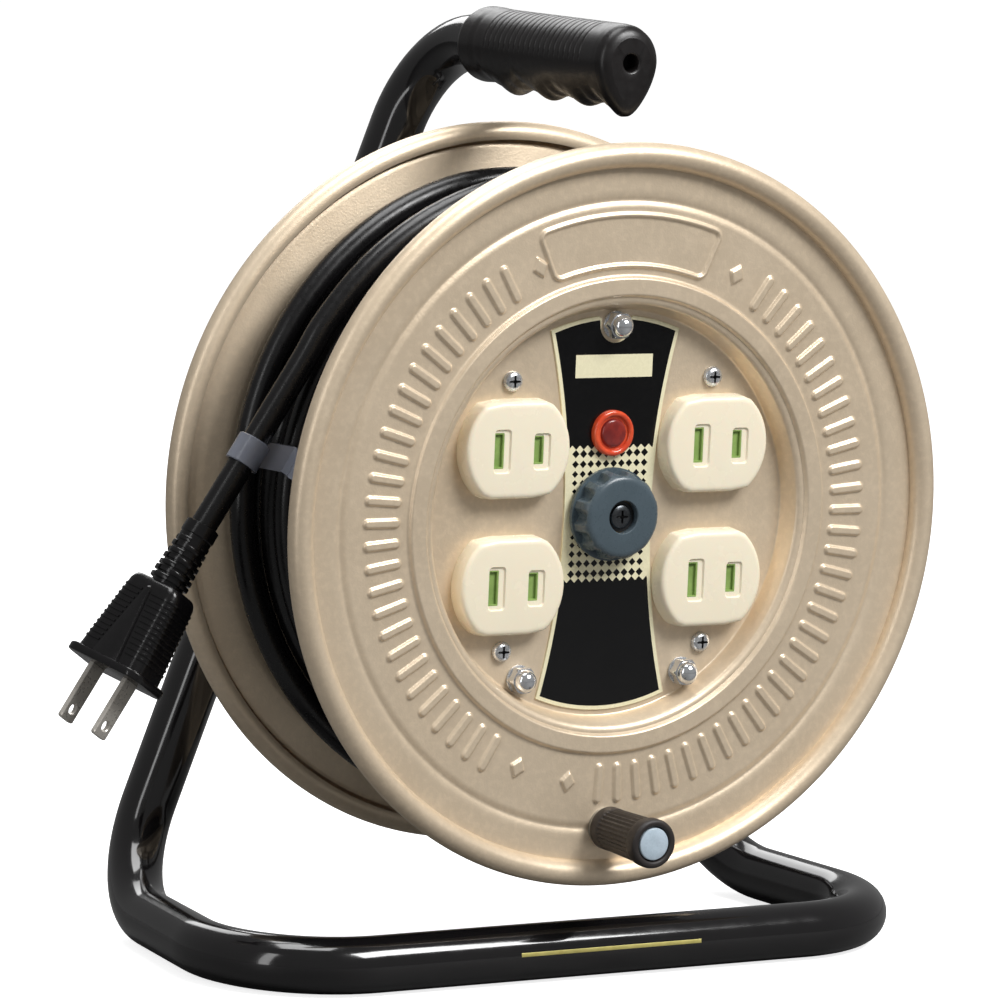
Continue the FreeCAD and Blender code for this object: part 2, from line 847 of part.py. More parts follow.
# Tie bolts through both flanges, with washers and domed nuts in front
bolts, front_washers, rear_washers, nuts = [], [], [], []
for index, angle in enumerate(BOLT_ANGLES):
    x, z = spot(S["bolt_circle_r"], angle)
    shank = cylinder(
        f"bolt_shank_{index}", S["bolt_d"] * 0.5, rear_panel + 0.8 - panel + 4.4, x, panel - 4.4, z
    )
    head = cylinder(f"bolt_head_{index}", 3.6, 2.4, x, rear_panel + 0.8, z)
    bolts.append(
        without(
            f"tie_bolt_{index}",
            joined(f"tie_bolt_blank_{index}", shank, head),
            box(f"bolt_slot_{index}", 9.0, 1.4, 1.0, x, rear_panel + 2.2, z),
        )
    )
    for name, y, pile in (("front", panel - 0.8, front_washers), ("rear", rear_panel, rear_washers)):
        pile.append(
            without(
                f"{name}_washer_{index}",
                cylinder(f"{name}_washer_disc_{index}", 4.0, 0.8, x, y, z),
                cylinder(f"{name}_washer_hole_{index}", S["bolt_d"] * 0.5 + 0.1, 3.0, x, y - 1, z),
            )
        )
    blank = joined(
        f"nut_blank_{index}",
        prism(f"nut_hex_{index}", 4.05, 3.0, x, panel - 3.8, z),
        shared(
            f"nut_dome_{index}",
            ball(f"nut_ball_{index}", 3.3, x, panel - 3.8, z),
            cylinder(f"nut_dome_limit_{index}", 3.3, 4.4, x, panel - 7.1, z),
        ),
    )
    nuts.append(
        without(
            f"domed_nut_{index}",
            blank,
            cylinder(f"nut_bore_{index}", S["bolt_d"] * 0.5 + 0.02, 3.8, x, panel - 4.5, z),
        )
    )
keep(group("tie_bolts", *bolts))
keep(group("front_washers", *front_washers))
keep(group("rear_washers", *rear_washers))
keep(group("domed_nuts", *nuts))

# Hub: sleeve between the panels with a plain bush at each end
hub_length = rear_panel_front - panel_back
sleeve = joined(
    "hub_sleeve_blank",
    cylinder("hub_tube", 11.5, hub_length, 0, panel_back, axle),
    cylinder("hub_front_plate", 14.5, 1.5, 0, panel_back, axle),
    cylinder("hub_rear_plate", 20.0, 1.5, 0, rear_panel_front - 1.5, axle),
)
keep(without("hub_sleeve", sleeve, cylinder("hub_bore", 9.3, hub_length + 4, 0, panel_back - 2, axle)))
bush_bore = axle_r + S["running_gap"]
for name, y, nose in (("front", panel - 0.5, -1), ("rear", rear_panel - 14.0 + 0.5, 1)):
    bar = cylinder(f"{name}_bush_bar", 9.28, 14.0, 0, y, axle)
    keep(
        without(
            f"hub_bush_{name}",
            bar,
            cylinder(f"{name}_bush_bore", bush_bore, 20.0, 0, y - 3, axle),
        )
    )

# Outlets: ivory housing, green liner, brass contacts, one screw each
outlet_face = panel - S["outlet_proud"]
SLOTS = ((-1, 9.0), (1, 7.0))
screws = []
for name, sx, sz in QUARTERS:
    x = sx * S["outlet_x"]
    z = axle + sz * S["outlet_z"]
    boss = shared(
        f"outlet_boss_{name}",
        joined(
            f"outlet_boss_bar_{name}",
            cylinder(
                f"outlet_boss_round_{name}",
                S["outlet_r"],
                S["outlet_proud"] - 1.2 + S["sheet_t"] + 0.5,
                x,
                outlet_face + 1.2,
                z,
            ),
            cone(f"outlet_boss_edge_{name}", S["outlet_r"] - 1.2, S["outlet_r"], 1.2, x, outlet_face, z),
        ),
        box(f"outlet_boss_flat_{name}", 60.0, 40.0, S["outlet_half_height"] * 2, x, outlet_face - 2, z),
    )
    flange_plate = shared(
        f"outlet_plate_{name}",
        cylinder(f"outlet_plate_round_{name}", S["outlet_r"] + 1.0, 2.0, x, panel_back, z),
        box(f"outlet_plate_flat_{name}", 60.0, 6.0, S["outlet_half_height"] * 2 + 2.5, x, panel_back - 1, z),
    )
    ear = box(f"outlet_ear_{name}", 8.0, 2.0, 14.0, x, panel_back, z + sz * 15.4)
    back_body = box(f"outlet_back_{name}", 27.0, 15.0, 18.0, x, panel_back, z)
    blank = joined(f"outlet_blank_{name}", boss, flange_plate, ear, back_body)
    cuts = [
        box(f"outlet_cavity_{name}", 23.0, 20.0, 14.0, x, outlet_face + 3.2, z),
        cylinder(
            f"outlet_tap_{name}", 1.4, 8.0, sx * S["screw_x"], panel_back - 2, axle + sz * S["screw_z"]
        ),
    ]
    liner_cuts = []
    contacts = []
    for side, height in SLOTS:
        slot_x = x + side * S["slot_pitch"] * 0.5
        cuts.append(
            box(f"outlet_slot_{name}_{side}", 2.3, 6.0, height, slot_x, outlet_face - 1, z)
        )
        cuts.append(
            box(f"outlet_sink_{name}_{side}", 5.4, 1.4, height + 2.6, slot_x + 0.7, outlet_face - 1, z + 0.2)
        )
        liner_cuts.append(
            box(f"liner_slot_{name}_{side}", 2.0, 14.0, height - 0.2, slot_x, outlet_face + 2, z)
        )
        y = outlet_face + 8.6
        contacts.append(
            without(
                f"contact_{name}_{side}",
                box(f"contact_block_{name}_{side}", 4.6, 9.0, 6.4, slot_x, y, z),
                box(f"contact_gap_{name}_{side}", 1.55, 8.0, 8.0, slot_x, y - 1, z),
            )
        )
    keep(without(f"outlet_{name}", blank, *cuts))
    keep(
        without(
            f"outlet_liner_{name}",
            box(f"liner_block_{name}", 22.9, 5.2, 13.9, x, outlet_face + 3.25, z),
            *liner_cuts,
        )
    )
    keep(group(f"outlet_contacts_{name}", *contacts))
    hx, hz = sx * S["screw_x"], axle + sz * S["screw_z"]
    head = without(
        f"outlet_screw_head_{name}",
        shared(
            f"outlet_screw_pan_{name}",
            ball(f"outlet_screw_ball_{name}", 3.6, hx, panel + 1.6, hz),
            cylinder(f"outlet_screw_limit_{name}", 2.9, 4.0, hx, panel - 4.0, hz),
        ),
        box(f"outlet_screw_cross_a_{name}", 3.2, 2.0, 0.7, hx, panel - 2.6, hz),
        box(f"outlet_screw_cross_b_{name}", 0.7, 2.0, 3.2, hx, panel - 2.6, hz),
    )
    screws.append(
        joined(
            f"outlet_screw_{name}",
            head,
            cylinder(f"outlet_screw_shank_{name}", 1.38, 3.8, hx, panel - 0.6, hz),
        )
    )
keep(group("outlet_screws", *screws))

# Data plate: an hourglass sheet on the panel
LABEL_R = 56.0
waist = 14.2
corner_x = 21.0
corner_z = math.sqrt(LABEL_R**2 - corner_x**2)
SIDE_R = (corner_z**2 + (corner_x - waist) ** 2) / (2 * (corner_x - waist))
label_face = panel - S["label_t"]
label_blank = plate(
    "label_blank",
    [
        (-corner_x, -corner_z, -SIDE_R),
        (corner_x, -corner_z, LABEL_R),
        (waist, 0, -SIDE_R),
        (corner_x, corner_z, -SIDE_R),
        (-corner_x, corner_z, LABEL_R),
        (-waist, 0, -SIDE_R),
    ],
    label_face,
    S["label_t"],
    0,
    axle,
)
top_bolt_x, top_bolt_z = spot(S["bolt_circle_r"], 90)
keep(
    without(
        "data_plate",
        label_blank,
        hole("label_hub_hole", 9.7, 0, label_face, axle),
        hole("label_lamp_hole", 5.2, 0, label_face, axle + S["lamp_z"]),
        hole("label_bolt_notch", 5.0, top_bolt_x, label_face, top_bolt_z),
    )
)
keep(box("rear_plate", 40.0, 0.5, 30.0, 0, rear_panel, axle - 36.0))

# Pilot lamp: stepped lens in front, holder behind the panel
lamp_at = axle + S["lamp_z"]
lens = joined(
    "lens_blank",
    cone("lens_edge", S["lamp_r"] - 0.6, S["lamp_r"], 0.6, 0, label_face - 2.0, lamp_at),
    cylinder("lens_rim", S["lamp_r"], 1.4, 0, label_face - 1.4, lamp_at),
    cylinder("lens_neck", 5.0, 4.5, 0, label_face - 0.5, lamp_at),
)
keep(
    joined(
        "pilot_lamp_lens",
        without(
            "lens_dished",
            lens,
            without(
                "lens_ring_recess",
                cylinder("lens_recess", 4.9, 1.6, 0, label_face - 2.6, lamp_at),
                cylinder("lens_step", 3.7, 2.0, 0, label_face - 2.8, lamp_at),
            ),
        ),
        cylinder("lens_centre", 3.7, 1.4, 0, label_face - 2.0, lamp_at),
    )
)
keep(
    without(
        "pilot_lamp_holder",
        cylinder("lamp_holder_bar", 7.4, 16.0, 0, panel_back, lamp_at),
        cylinder("lamp_holder_bore", 5.02, 4.0, 0, panel_back - 1, lamp_at),
    )
)

# Brake knob on the axle stud: insert, washer and the screw that keeps it on
knob_back = panel - 1.6
knob_face = knob_back - S["knob_length"]
FLUTES = 12
knob_bar = joined(
    "knob_bar",
    cone("knob_crown", S["knob_r"] - 2.2, S["knob_r"] - 0.3, 1.8, 0, knob_face, axle),
    cylinder("knob_side", S["knob_r"] - 0.3, S["knob_length"] - 3.2, 0, knob_face + 1.8, axle),
    cylinder("knob_skirt", S["knob_r"], 1.4, 0, knob_back - 1.4, axle),
)
knob_cuts = [
    cylinder("knob_recess", 4.6, 3.2, 0, knob_face - 0.5, axle),
    cylinder("knob_hollow", 10.9, 2.6, 0, knob_back - 2.0, axle),
    cylinder("knob_insert_seat", 7.0, 8.0, 0, knob_face + 2.7, axle),
]
for index in range(FLUTES):
    turn = math.radians(360 / FLUTES * index)
    reach = S["knob_r"] + 1.7
    knob_cuts.append(
        cylinder(
            f"knob_flute_{index}",
            2.6,
            S["knob_length"] - 1.4,
            reach * math.cos(turn),
            knob_face - 0.01,
            axle + reach * math.sin(turn),
        )
    )
keep(without("brake_knob", knob_bar, *knob_cuts))
insert_front = knob_face + 2.7
insert_back = panel - 2.6
keep(
    without(
        "knob_insert",
        cylinder("insert_bar", 6.98, insert_back - insert_front, 0, insert_front, axle),
        cylinder("insert_thread", stud_r + 0.05, 12.0, 0, insert_front - 2, axle),
    )
)
washer_back = panel - 1.43
keep(
    without(
        "pressure_washer",
        cylinder("pressure_disc", 10.5, 1.0, 0, washer_back - 1.0, axle),
        cylinder("pressure_hole", axle_r + 0.05, 4.0, 0, washer_back - 3, axle),
    )
)
stop_t = 0.5
screw_seat = stud_front - stop_t
keep(
    without(
        "knob_stop_washer",
        cylinder("stop_disc", stud_r + 0.4, stop_t, 0, screw_seat, axle),
        cylinder("stop_hole", 1.65, 3.0, 0, screw_seat - 1, axle),
    )
)
keep(
    joined(
        "knob_screw",
        without(
            "knob_screw_head",
            cylinder("knob_screw_pan", 3.4, 1.3, 0, screw_seat - 1.3, axle),
            box("knob_screw_cross_a", 3.8, 1.0, 0.8, 0, screw_seat - 1.8, axle),
            box("knob_screw_cross_b", 0.8, 1.0, 3.8, 0, screw_seat - 1.8, axle),
        ),
        cylinder("knob_screw_shank", 1.63, 9.0, 0, screw_seat - 0.4, axle),
    )
)

# Winding crank: a sleeve that turns on a riveted pin near the flange's rim
crank_base = front + S["band_set"]
crank_end = front - S["crank_length"]
pin_head_front = crank_end + 1.4
rivet_seat = crank_base + S["sheet_t"] + GROOVE_BACK + 0.02
keep(
    joined(
        "crank_pin",
        cylinder("pin_rivet", 3.3, 0.8, crank_x, rivet_seat, crank_z),
        cylinder("pin_neck", 2.95, rivet_seat + 0.3 - (crank_base - 1.2), crank_x, crank_base - 1.2, crank_z),
        cylinder("pin_shoulder", 5.6, 1.2, crank_x, crank_base - 1.2, crank_z),
        cylinder("pin_shank", 3.0, crank_base - 1.0 - pin_head_front, crank_x, pin_head_front, crank_z),
        cylinder("pin_head", 4.6, 1.2, crank_x, pin_head_front, crank_z),
    )
)
sleeve_back = crank_base - 1.5
sleeve_r = S["crank_end_r"]
sleeve_blank = turned(
    "crank_sleeve_blank",
    [
        (3.05, sleeve_back),
        (3.05, pin_head_front + 1.45),
        (4.95, pin_head_front + 1.45),
        (4.95, crank_end),
        (sleeve_r - 0.9, crank_end),
        (sleeve_r, crank_end + 1.0, 1.1),
        (sleeve_r, crank_end + 3.6),
        (sleeve_r - 0.35, crank_end + 4.2),
        (sleeve_r - 1.1, sleeve_back - 3.4),
        (sleeve_r - 0.9, sleeve_back - 2.8),
        (sleeve_r - 0.9, sleeve_back),
    ],
    crank_z,
    crank_x,
)
RIBS = 24
sleeve_cuts = []
for index in range(RIBS):
    turn = math.radians(360 / RIBS * index)
    sleeve_cuts.append(
        cylinder(
            f"crank_flute_{index}",
            0.55,
            sleeve_back - crank_end - 8.0,
            crank_x + (sleeve_r + 0.05) * math.cos(turn),
            crank_end + 4.3,
            crank_z + (sleeve_r + 0.05) * math.sin(turn),
        )
    )
keep(without("crank_sleeve", sleeve_blank, *sleeve_cuts))
keep(cylinder("crank_cap", 4.92, 0.9, crank_x, crank_end + 0.1, crank_z))

# Inside the drum: terminal block, thermal protector, wires and the cord's lead
block_y = rear_panel_front - 12.0
block_z = axle + 34.0
keep(
    without(
        "terminal_block",
        box("block_body", 30.0, 12.0, 16.0, 0, block_y, block_z),
        *[cylinder(f"block_bore_{k}", 2.3, 3.0, -10.5 + 7 * k, block_y - 1, block_z + 4) for k in range(4)],
    )
)
keep(
    group(
        "terminal_screws",
        *[cylinder(f"block_screw_{k}", 2.25, 2.4, -10.5 + 7 * k, block_y - 0.4, block_z + 4) for k in range(4)],
    )
)
keep(cylinder("thermal_protector", 8.5, 11.0, -34.0, rear_panel_front - 11.0, axle - 6.0))


def at(x, y, z):
    return Vector(number(x), number(y), number(axle) + number(z))


def fair(points):
    """The largest even radius at each inner point of a route."""
    radii = []
    for before, corner, after in zip(points, points[1:], points[2:]):
        half = (before - corner).getAngle(after - corner) / 2
        turn = math.pi / 2 - half
        shorter = min((before - corner).Length, (after - corner).Length)
        radii.append(0.45 * shorter / math.tan(turn))
    return radii


def wire(name, points, radius):
    return solid(name, swept(route(points, fair(points)), radius))


inlet = math.radians(INLET_ANGLE)
barrel = number(S["barrel_r"])
lead_points = [
    at(barrel * math.cos(inlet), inlet_y, barrel * math.sin(inlet)),
    at(47 * math.cos(inlet), inlet_y, 47 * math.sin(inlet)),
    at(38.0, inlet_y + 13.5, 0),
    at(36.0, block_y + 6.0, 34.0),
    at(15.0, block_y + 6.0, 34.0),
]
keep(wire("inner_lead", lead_points, number(S["cord_d"]) / 2))
outlet_back_y = number(panel_back) + 15.0
wires = []
for side in (-1, 1):
    wires.append(
        wire(
            f"feed_wire_{side}",
            [
                at(side * 6.0, block_y, 30.5),
                at(side * 6.0, block_y - 11.0, 30.5),
                at(side * 28.0, block_y - 17.0, 20.0),
                at(side * 28.0, outlet_back_y, 20.0),
            ],
            1.3,
        )
    )
    wires.append(
        wire(
            f"link_wire_{side}",
            [
                at(side * 38.0, outlet_back_y, 14.0),
                at(side * 38.0, outlet_back_y + 6.0, 10.0),
                at(side * 38.0, outlet_back_y + 6.0, -10.0),
                at(side * 38.0, outlet_back_y, -14.0),
            ],
            1.3,
        )
    )
lamp_back_y = number(panel_back) + 16.0
wires.append(
    wire(
        "lamp_wire",
        [
            at(0, lamp_back_y, 22.8),
            at(0, lamp_back_y + 10.0, 23.4),
            at(0, block_y - 8.0, 30.0),
            at(0, block_y, 30.5),
        ],
        0.9,
    )
)
keep(group("drum_wires", *wires))

# Free end of the cord: off the top of the winding, down through the band to the plug
tail_r = number(wind_r) + number(S["cord_d"]) + 0.4
tail_y = number(front) + 40.0
LEAVE = math.radians(147)
HIDDEN = math.radians(80)
tail_way = Vector(-math.sin(LEAVE), 0, math.cos(LEAVE))
leave = at(tail_r * math.cos(LEAVE), tail_y, tail_r * math.sin(LEAVE))


def along(t):
    """A point on the straight stretch of the tail."""
    return leave + tail_way * t


middle = (LEAVE + HIDDEN) / 2
relief_start = 64.0
tail_end = relief_start + 3.0
tail_edges = [
    Part.Arc(
        at(tail_r * math.cos(HIDDEN), tail_y, tail_r * math.sin(HIDDEN)),
        at(tail_r * math.cos(middle), tail_y, tail_r * math.sin(middle)),
        leave,
    ).toShape(),
    Part.LineSegment(leave, along(tail_end)).toShape(),
]
tail = swept(tail_edges, number(S["cord_d"]) / 2)
tail_length = sum(edge.Length for edge in tail_edges)
print("tail: length", round(tail_length, 1), "radius", round(tail_r, 1))
keep(solid("cord_tail", tail))

# Directions of the plug: across both blades, and square to its broad face
across = Vector(0.353, -0.907, -0.23)
across = (across - tail_way * across.dot(tail_way)).normalize()
broad = across.cross(tail_way).normalize()


def rounded(t, wide, thick, corner):
    """A rounded rectangle square to the plug's axis."""
    a, b = wide / 2, thick / 2
    edges = []

    def place(u, v):
        return along(t) + across * u + broad * v

    spots = []
    for su, sv in ((1, 1), (-1, 1), (-1, -1), (1, -1)):
        cu, cv = su * (a - corner), sv * (b - corner)
        first = (cu + su * corner, cv) if su * sv > 0 else (cu, cv + sv * corner)
        last = (cu, cv + sv * corner) if su * sv > 0 else (cu + su * corner, cv)
        k = corner * math.sqrt(0.5)
        spots.append((place(*first), place(cu + su * k, cv + sv * k), place(*last)))
    for i, (first, mid, last) in enumerate(spots):
        edges.append(Part.Arc(first, mid, last).toShape())
        edges.append(Part.LineSegment(last, spots[(i + 1) % 4][0]).toShape())
    return Part.Wire(edges)


def lofted(*wires_in):
    return Part.makeLoft(list(wires_in), True, True)


plug_top = 84.0
plug_front = plug_top + 28.0
relief = Part.makeCone(4.9, 6.0, plug_top - relief_start, along(relief_start), tail_way)
socket_depth = tail_end - relief_start
relief = relief.cut(Part.makeCylinder(number(S["cord_d"]) / 2 + 0.01, socket_depth, along(relief_start), tail_way))
for row in range(6):
    place = along(70.2 + 2.2 * row)
    groove = Part.makeCylinder(8, 0.8, place, tail_way)
    groove = groove.cut(Part.makeCylinder(4.6 + 0.05 * row, 0.8, place, tail_way))
    relief = relief.cut(groove)
keep(solid("strain_relief", relief))
plug = lofted(
    rounded(plug_top, 17.0, 12.0, 3.0),
    rounded(plug_top + 2.0, 19.5, 13.5, 3.5),
)
plug = plug.fuse(lofted(rounded(plug_top + 2.0, 19.5, 13.5, 3.5), rounded(plug_front - 2.3, 24.0, 15.0, 3.5)))
plug = plug.fuse(lofted(rounded(plug_front - 2.3, 27.5, 18.0, 4.5), rounded(plug_front, 27.5, 18.0, 4.5)))
blades = []
blade_deep = 6.0
for side in (-1, 1):
    length = blade_deep + number(S["blade_length"])
    blade = Part.makeBox(6.35, 1.5, length, Vector(-3.175, -0.75, 0))
    bore = Part.makeCylinder(1.5, 4.0, Vector(0, -2, length - 3.6), Vector(0, 1, 0))
    blade = blade.cut(bore)
    frame = Matrix(
        broad.x, across.x, tail_way.x, 0,
        broad.y, across.y, tail_way.y, 0,
        broad.z, across.z, tail_way.z, 0,
        0, 0, 0, 1,
    )
    place = along(plug_front - blade_deep) + across * (side * number(S["slot_pitch"]) / 2)
    turn = Placement(frame)
    turn.Base = place
    blade.Placement = turn
    blades.append(blade)
    plug = plug.cut(blade)
keep(solid("plug_body", plug.removeSplitter()))
keep(solid("plug_blades", Part.makeCompound(blades)))

# Band that holds the tail: an eye round the cord and a strap forward over the winding
band_at = 40.0
band_wide = 8.0
eye_centre = along(band_at)
ring_start = along(band_at - band_wide / 2)
eye = Part.makeCylinder(number(S["cord_d"]) / 2 + 1.1, band_wide, ring_start, tail_way)
eye_hole = Part.makeCylinder(
    number(S["cord_d"]) / 2 + SLIP, band_wide * 2, along(band_at - band_wide), tail_way
)
out = Vector(eye_centre.x, 0, eye_centre.z - number(axle))
eye_reach = out.Length
out.normalize()
strap_low = number(wind_r) + number(S["cord_d"]) / 2 + 0.55
strap_thick = 1.0
forward = Vector(0, -1, 0)


def strap_point(advance, reach):
    return Vector(0, tail_y, number(axle)) + forward * advance + out * reach


strap_end = tail_y - number(front) - 4.0
strap_corners = [
    strap_point(-0.5, eye_reach - 3.9),
    strap_point(2.2, strap_low),
    strap_point(strap_end, strap_low),
    strap_point(strap_end, strap_low + strap_thick),
    strap_point(3.2, strap_low + strap_thick),
    strap_point(0.7, eye_reach - 3.9),
    strap_point(-0.5, eye_reach - 3.9),
]
strap_face = Part.Face(Part.makePolygon(strap_corners))
sweep_way = forward.cross(out).normalize() * band_wide
strap = strap_face.extrude(sweep_way)
strap.translate(sweep_way * -0.5)
band = eye.fuse(strap).cut(eye_hole)
keep(solid("cord_band", band))

# Check every object, then write each piece
doc.recompute()
for obj in doc.Objects:
    if "Invalid" in obj.State or "Error" in obj.State:
        raise RuntimeError(f"{obj.Name} did not compute: {obj.State}")
for obj in nodes:
    shape = obj.Shape
    if shape.isNull() or not shape.isValid() or not shape.Solids:
        raise RuntimeError(f"{obj.Label} has no valid solid")
    print(f"{obj.Label}: {len(shape.Solids)} solid, {shape.Volume / 1000:.2f} cm3")
    shape.exportStep(f"parts/{obj.Label}.step")
print(len(nodes), "pieces")
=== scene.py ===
"""Looks of the cord reel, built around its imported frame. Lengths are in millimetres."""

import math

import bmesh
import bpy
from mathutils import Matrix, Vector


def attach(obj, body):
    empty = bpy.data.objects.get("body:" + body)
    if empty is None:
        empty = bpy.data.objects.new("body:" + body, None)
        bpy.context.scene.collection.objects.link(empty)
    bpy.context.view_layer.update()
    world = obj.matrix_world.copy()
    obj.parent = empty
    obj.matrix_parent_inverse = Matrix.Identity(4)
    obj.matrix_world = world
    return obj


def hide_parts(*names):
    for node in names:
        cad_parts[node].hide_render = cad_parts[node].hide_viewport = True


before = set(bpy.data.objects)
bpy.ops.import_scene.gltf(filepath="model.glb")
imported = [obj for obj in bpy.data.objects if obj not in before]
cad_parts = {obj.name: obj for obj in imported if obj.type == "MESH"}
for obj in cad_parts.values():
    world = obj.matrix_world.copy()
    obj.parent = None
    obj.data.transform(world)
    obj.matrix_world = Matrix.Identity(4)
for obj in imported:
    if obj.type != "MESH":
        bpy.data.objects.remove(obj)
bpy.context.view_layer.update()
MM = 0.001

# Places shared by the pieces, the same as in the part
AXLE = 131.5
FRONT = -55.5
REAR = 18.0
PANEL = -48.0
REAR_PANEL = 10.5
BAND = 0.8
QUARTERS = {"upper_left": (-1, 1), "upper_right": (1, 1), "lower_left": (-1, -1), "lower_right": (1, -1)}

# Camera, at the photograph's viewing angle
camera_data = bpy.data.cameras.new("camera")
camera_data.lens = 207.4
camera_data.sensor_width = 36
camera_data.clip_end = 20
camera = bpy.data.objects.new("camera", camera_data)
bpy.context.scene.collection.objects.link(camera)
right = Vector((0.86503, -0.49999, 0.04166))
up = Vector((0.03069, 0.13561, 0.99029))
ahead = Vector((0.50079, 0.85534, -0.13266))
camera.matrix_world = Matrix.Translation(Vector((-0.8366, -1.4173, 0.3486))) @ Matrix(
    (right, up, -ahead)
).transposed().to_4x4()
bpy.context.scene.camera = camera


# Materials

def rgb(r, g, b):
    """A screen colour from 0 to 255 as the linear colour that shaders take."""
    def linear(c):
        c /= 255
        return c / 12.92 if c <= 0.04045 else ((c + 0.055) / 1.055) ** 2.4
    return (linear(r), linear(g), linear(b), 1)


class Graph:
    """A short way to add nodes to a material and join them."""

    def __init__(self, name):
        self.material = bpy.data.materials.new(name)
        self.material.use_nodes = True
        self.tree = self.material.node_tree
        self.shader = self.tree.nodes["Principled BSDF"]
        self.place = self.add("ShaderNodeTexCoord").outputs["Object"]

    def add(self, kind, inputs=None, **settings):
        node = self.tree.nodes.new(kind)
        for key, value in settings.items():
            setattr(node, key, value)
        for key, value in (inputs or {}).items():
            self.feed(node.inputs[key], value)
        return node

    def feed(self, socket, value):
        if isinstance(value, bpy.types.NodeSocket):
            self.tree.links.new(value, socket)
        else:
            socket.default_value = value

    def noise(self, scale, detail=3.0, rough=0.55, place=None):
        inputs = {"Vector": place or self.place, "Scale": scale, "Detail": detail, "Roughness": rough}
        return self.add("ShaderNodeTexNoise", inputs).outputs["Fac"]

    def ramp(self, value, low, high, a, b):
        """Maps value from low..high to a..b."""
        inputs = {0: value, 1: low, 2: high, 3: a, 4: b}
        return self.add("ShaderNodeMapRange", inputs).outputs[0]

    def math(self, operation, a, b=0.0):
        return self.add("ShaderNodeMath", {0: a, 1: b}, operation=operation).outputs[0]

    def mix(self, factor, a, b):
        node = self.add("ShaderNodeMix", data_type="RGBA")
        self.feed(node.inputs[0], factor)
        self.feed(node.inputs[6], a)
        self.feed(node.inputs[7], b)
        return node.outputs[2]

    def bump(self, height, strength, distance, normal=None):
        inputs = {"Height": height, "Strength": strength, "Distance": distance * MM}
        if normal is not None:
            inputs["Normal"] = normal
        return self.add("ShaderNodeBump", inputs).outputs[0]

    def set(self, **values):
        for key, value in values.items():
            self.feed(self.shader.inputs[key.replace("_", " ")], value)


def finish_of(name, colour, other, blotch=60, grain=2500, height=0.01, rough=(0.35, 0.45), fleck=0.45,
              **shader):
    """A finish with slow colour change, fine grain in the surface and uneven gloss."""
    g = Graph(name)
    slow = g.noise(blotch, 4)
    fine = g.noise(grain, 2)
    speck = g.noise(grain * 0.35, 3)
    shade = g.mix(g.ramp(slow, 0.3, 0.7, 0.0, 1.0), colour, other)
    tint = tuple(min(1.0, c * 1.18) for c in colour[:3]) + (1,)
    g.set(Base_Color=g.mix(g.ramp(speck, 0.45, 0.75, 0.0, fleck), shade, tint))
    g.set(Roughness=g.ramp(g.noise(blotch * 6, 4), 0.3, 0.7, rough[0], rough[1]))
    g.set(Normal=g.bump(fine, 1.0, height), **shader)
    return g.material


PAINT = finish_of("champagne_paint", rgb(231, 212, 185), rgb(222, 202, 174),
                  14, 1500, 0.05, (0.34, 0.44), 0.45,
                  Metallic=0.45, Coat_Weight=0.15, Coat_Roughness=0.3)
ENAMEL = finish_of("black_enamel", rgb(14, 13, 14), rgb(20, 18, 19), 30, 180, 0.02, (0.1, 0.17),
                   Coat_Weight=0.6, Coat_Roughness=0.06)
SHEATH = finish_of("cord_sheath", rgb(14, 13, 14), rgb(19, 18, 19), 90, 900, 0.008, (0.24, 0.34), 0.15)
PLUG = finish_of("plug_moulding", rgb(12, 11, 12), rgb(17, 16, 17), 120, 1200, 0.006, (0.17, 0.26), 0.2)
GRIP = finish_of("grip_moulding", rgb(20, 18, 18), rgb(27, 24, 24), 70, 1600, 0.02, (0.28, 0.4))
CRANK = finish_of("crank_moulding", rgb(38, 33, 32), rgb(48, 43, 41), 120, 1500, 0.03, (0.42, 0.56))
BLACK = finish_of("black_moulding", rgb(24, 24, 25), rgb(33, 33, 34), 120, 1500, 0.02, (0.35, 0.5))
CAP = finish_of("cap_moulding", rgb(188, 203, 215), rgb(177, 194, 206), 200, 1500, 0.015, (0.22, 0.34))
IVORY = finish_of("ivory_moulding", rgb(251, 240, 215), rgb(250, 238, 212),
                  20, 1400, 0.003, (0.22, 0.3), 0.04,
                  Subsurface_Weight=0.08, Subsurface_Scale=0.002)
GREEN = finish_of("green_moulding", rgb(150, 178, 100), rgb(128, 158, 82), 200, 1500, 0.01, (0.35, 0.5))
KNOB = finish_of("knob_moulding", rgb(78, 91, 99), rgb(72, 85, 92), 120, 1300, 0.006, (0.24, 0.34), 0.08)
ZINC = finish_of("zinc_plate", rgb(214, 216, 218), rgb(196, 199, 203),
                 300, 1800, 0.01, (0.2, 0.36), Metallic=0.75)
CHROME = finish_of("bright_nickel", rgb(232, 233, 235), rgb(218, 221, 225),
                   260, 900, 0.004, (0.07, 0.14), Metallic=0.85)
NICKEL = finish_of("blade_nickel", rgb(226, 221, 212), rgb(206, 200, 190),
                   160, 1200, 0.006, (0.24, 0.38), 0.08, Metallic=0.6)
STEEL = finish_of("turned_steel", rgb(176, 177, 176), rgb(150, 151, 152),
                  200, 1500, 0.015, (0.28, 0.42), Metallic=1.0)
BRASS = finish_of("brass", rgb(200, 164, 96), rgb(176, 140, 76), 200, 1200, 0.01, (0.25, 0.4), Metallic=1.0)
NYLON = finish_of("natural_nylon", rgb(226, 222, 206), rgb(212, 207, 190), 150, 1200, 0.01, (0.35, 0.5))
CREAM = finish_of("label_cream", rgb(241, 234, 199), rgb(238, 231, 195),
                  120, 1600, 0.003, (0.22, 0.32), 0.05)
INK = finish_of("label_black", rgb(5, 5, 6), rgb(8, 8, 9), 120, 1600, 0.003, (0.18, 0.26))
DARK_ZINC = finish_of("dark_zinc", rgb(104, 107, 110), rgb(84, 87, 90),
                      300, 1800, 0.01, (0.18, 0.3), Metallic=1.0)
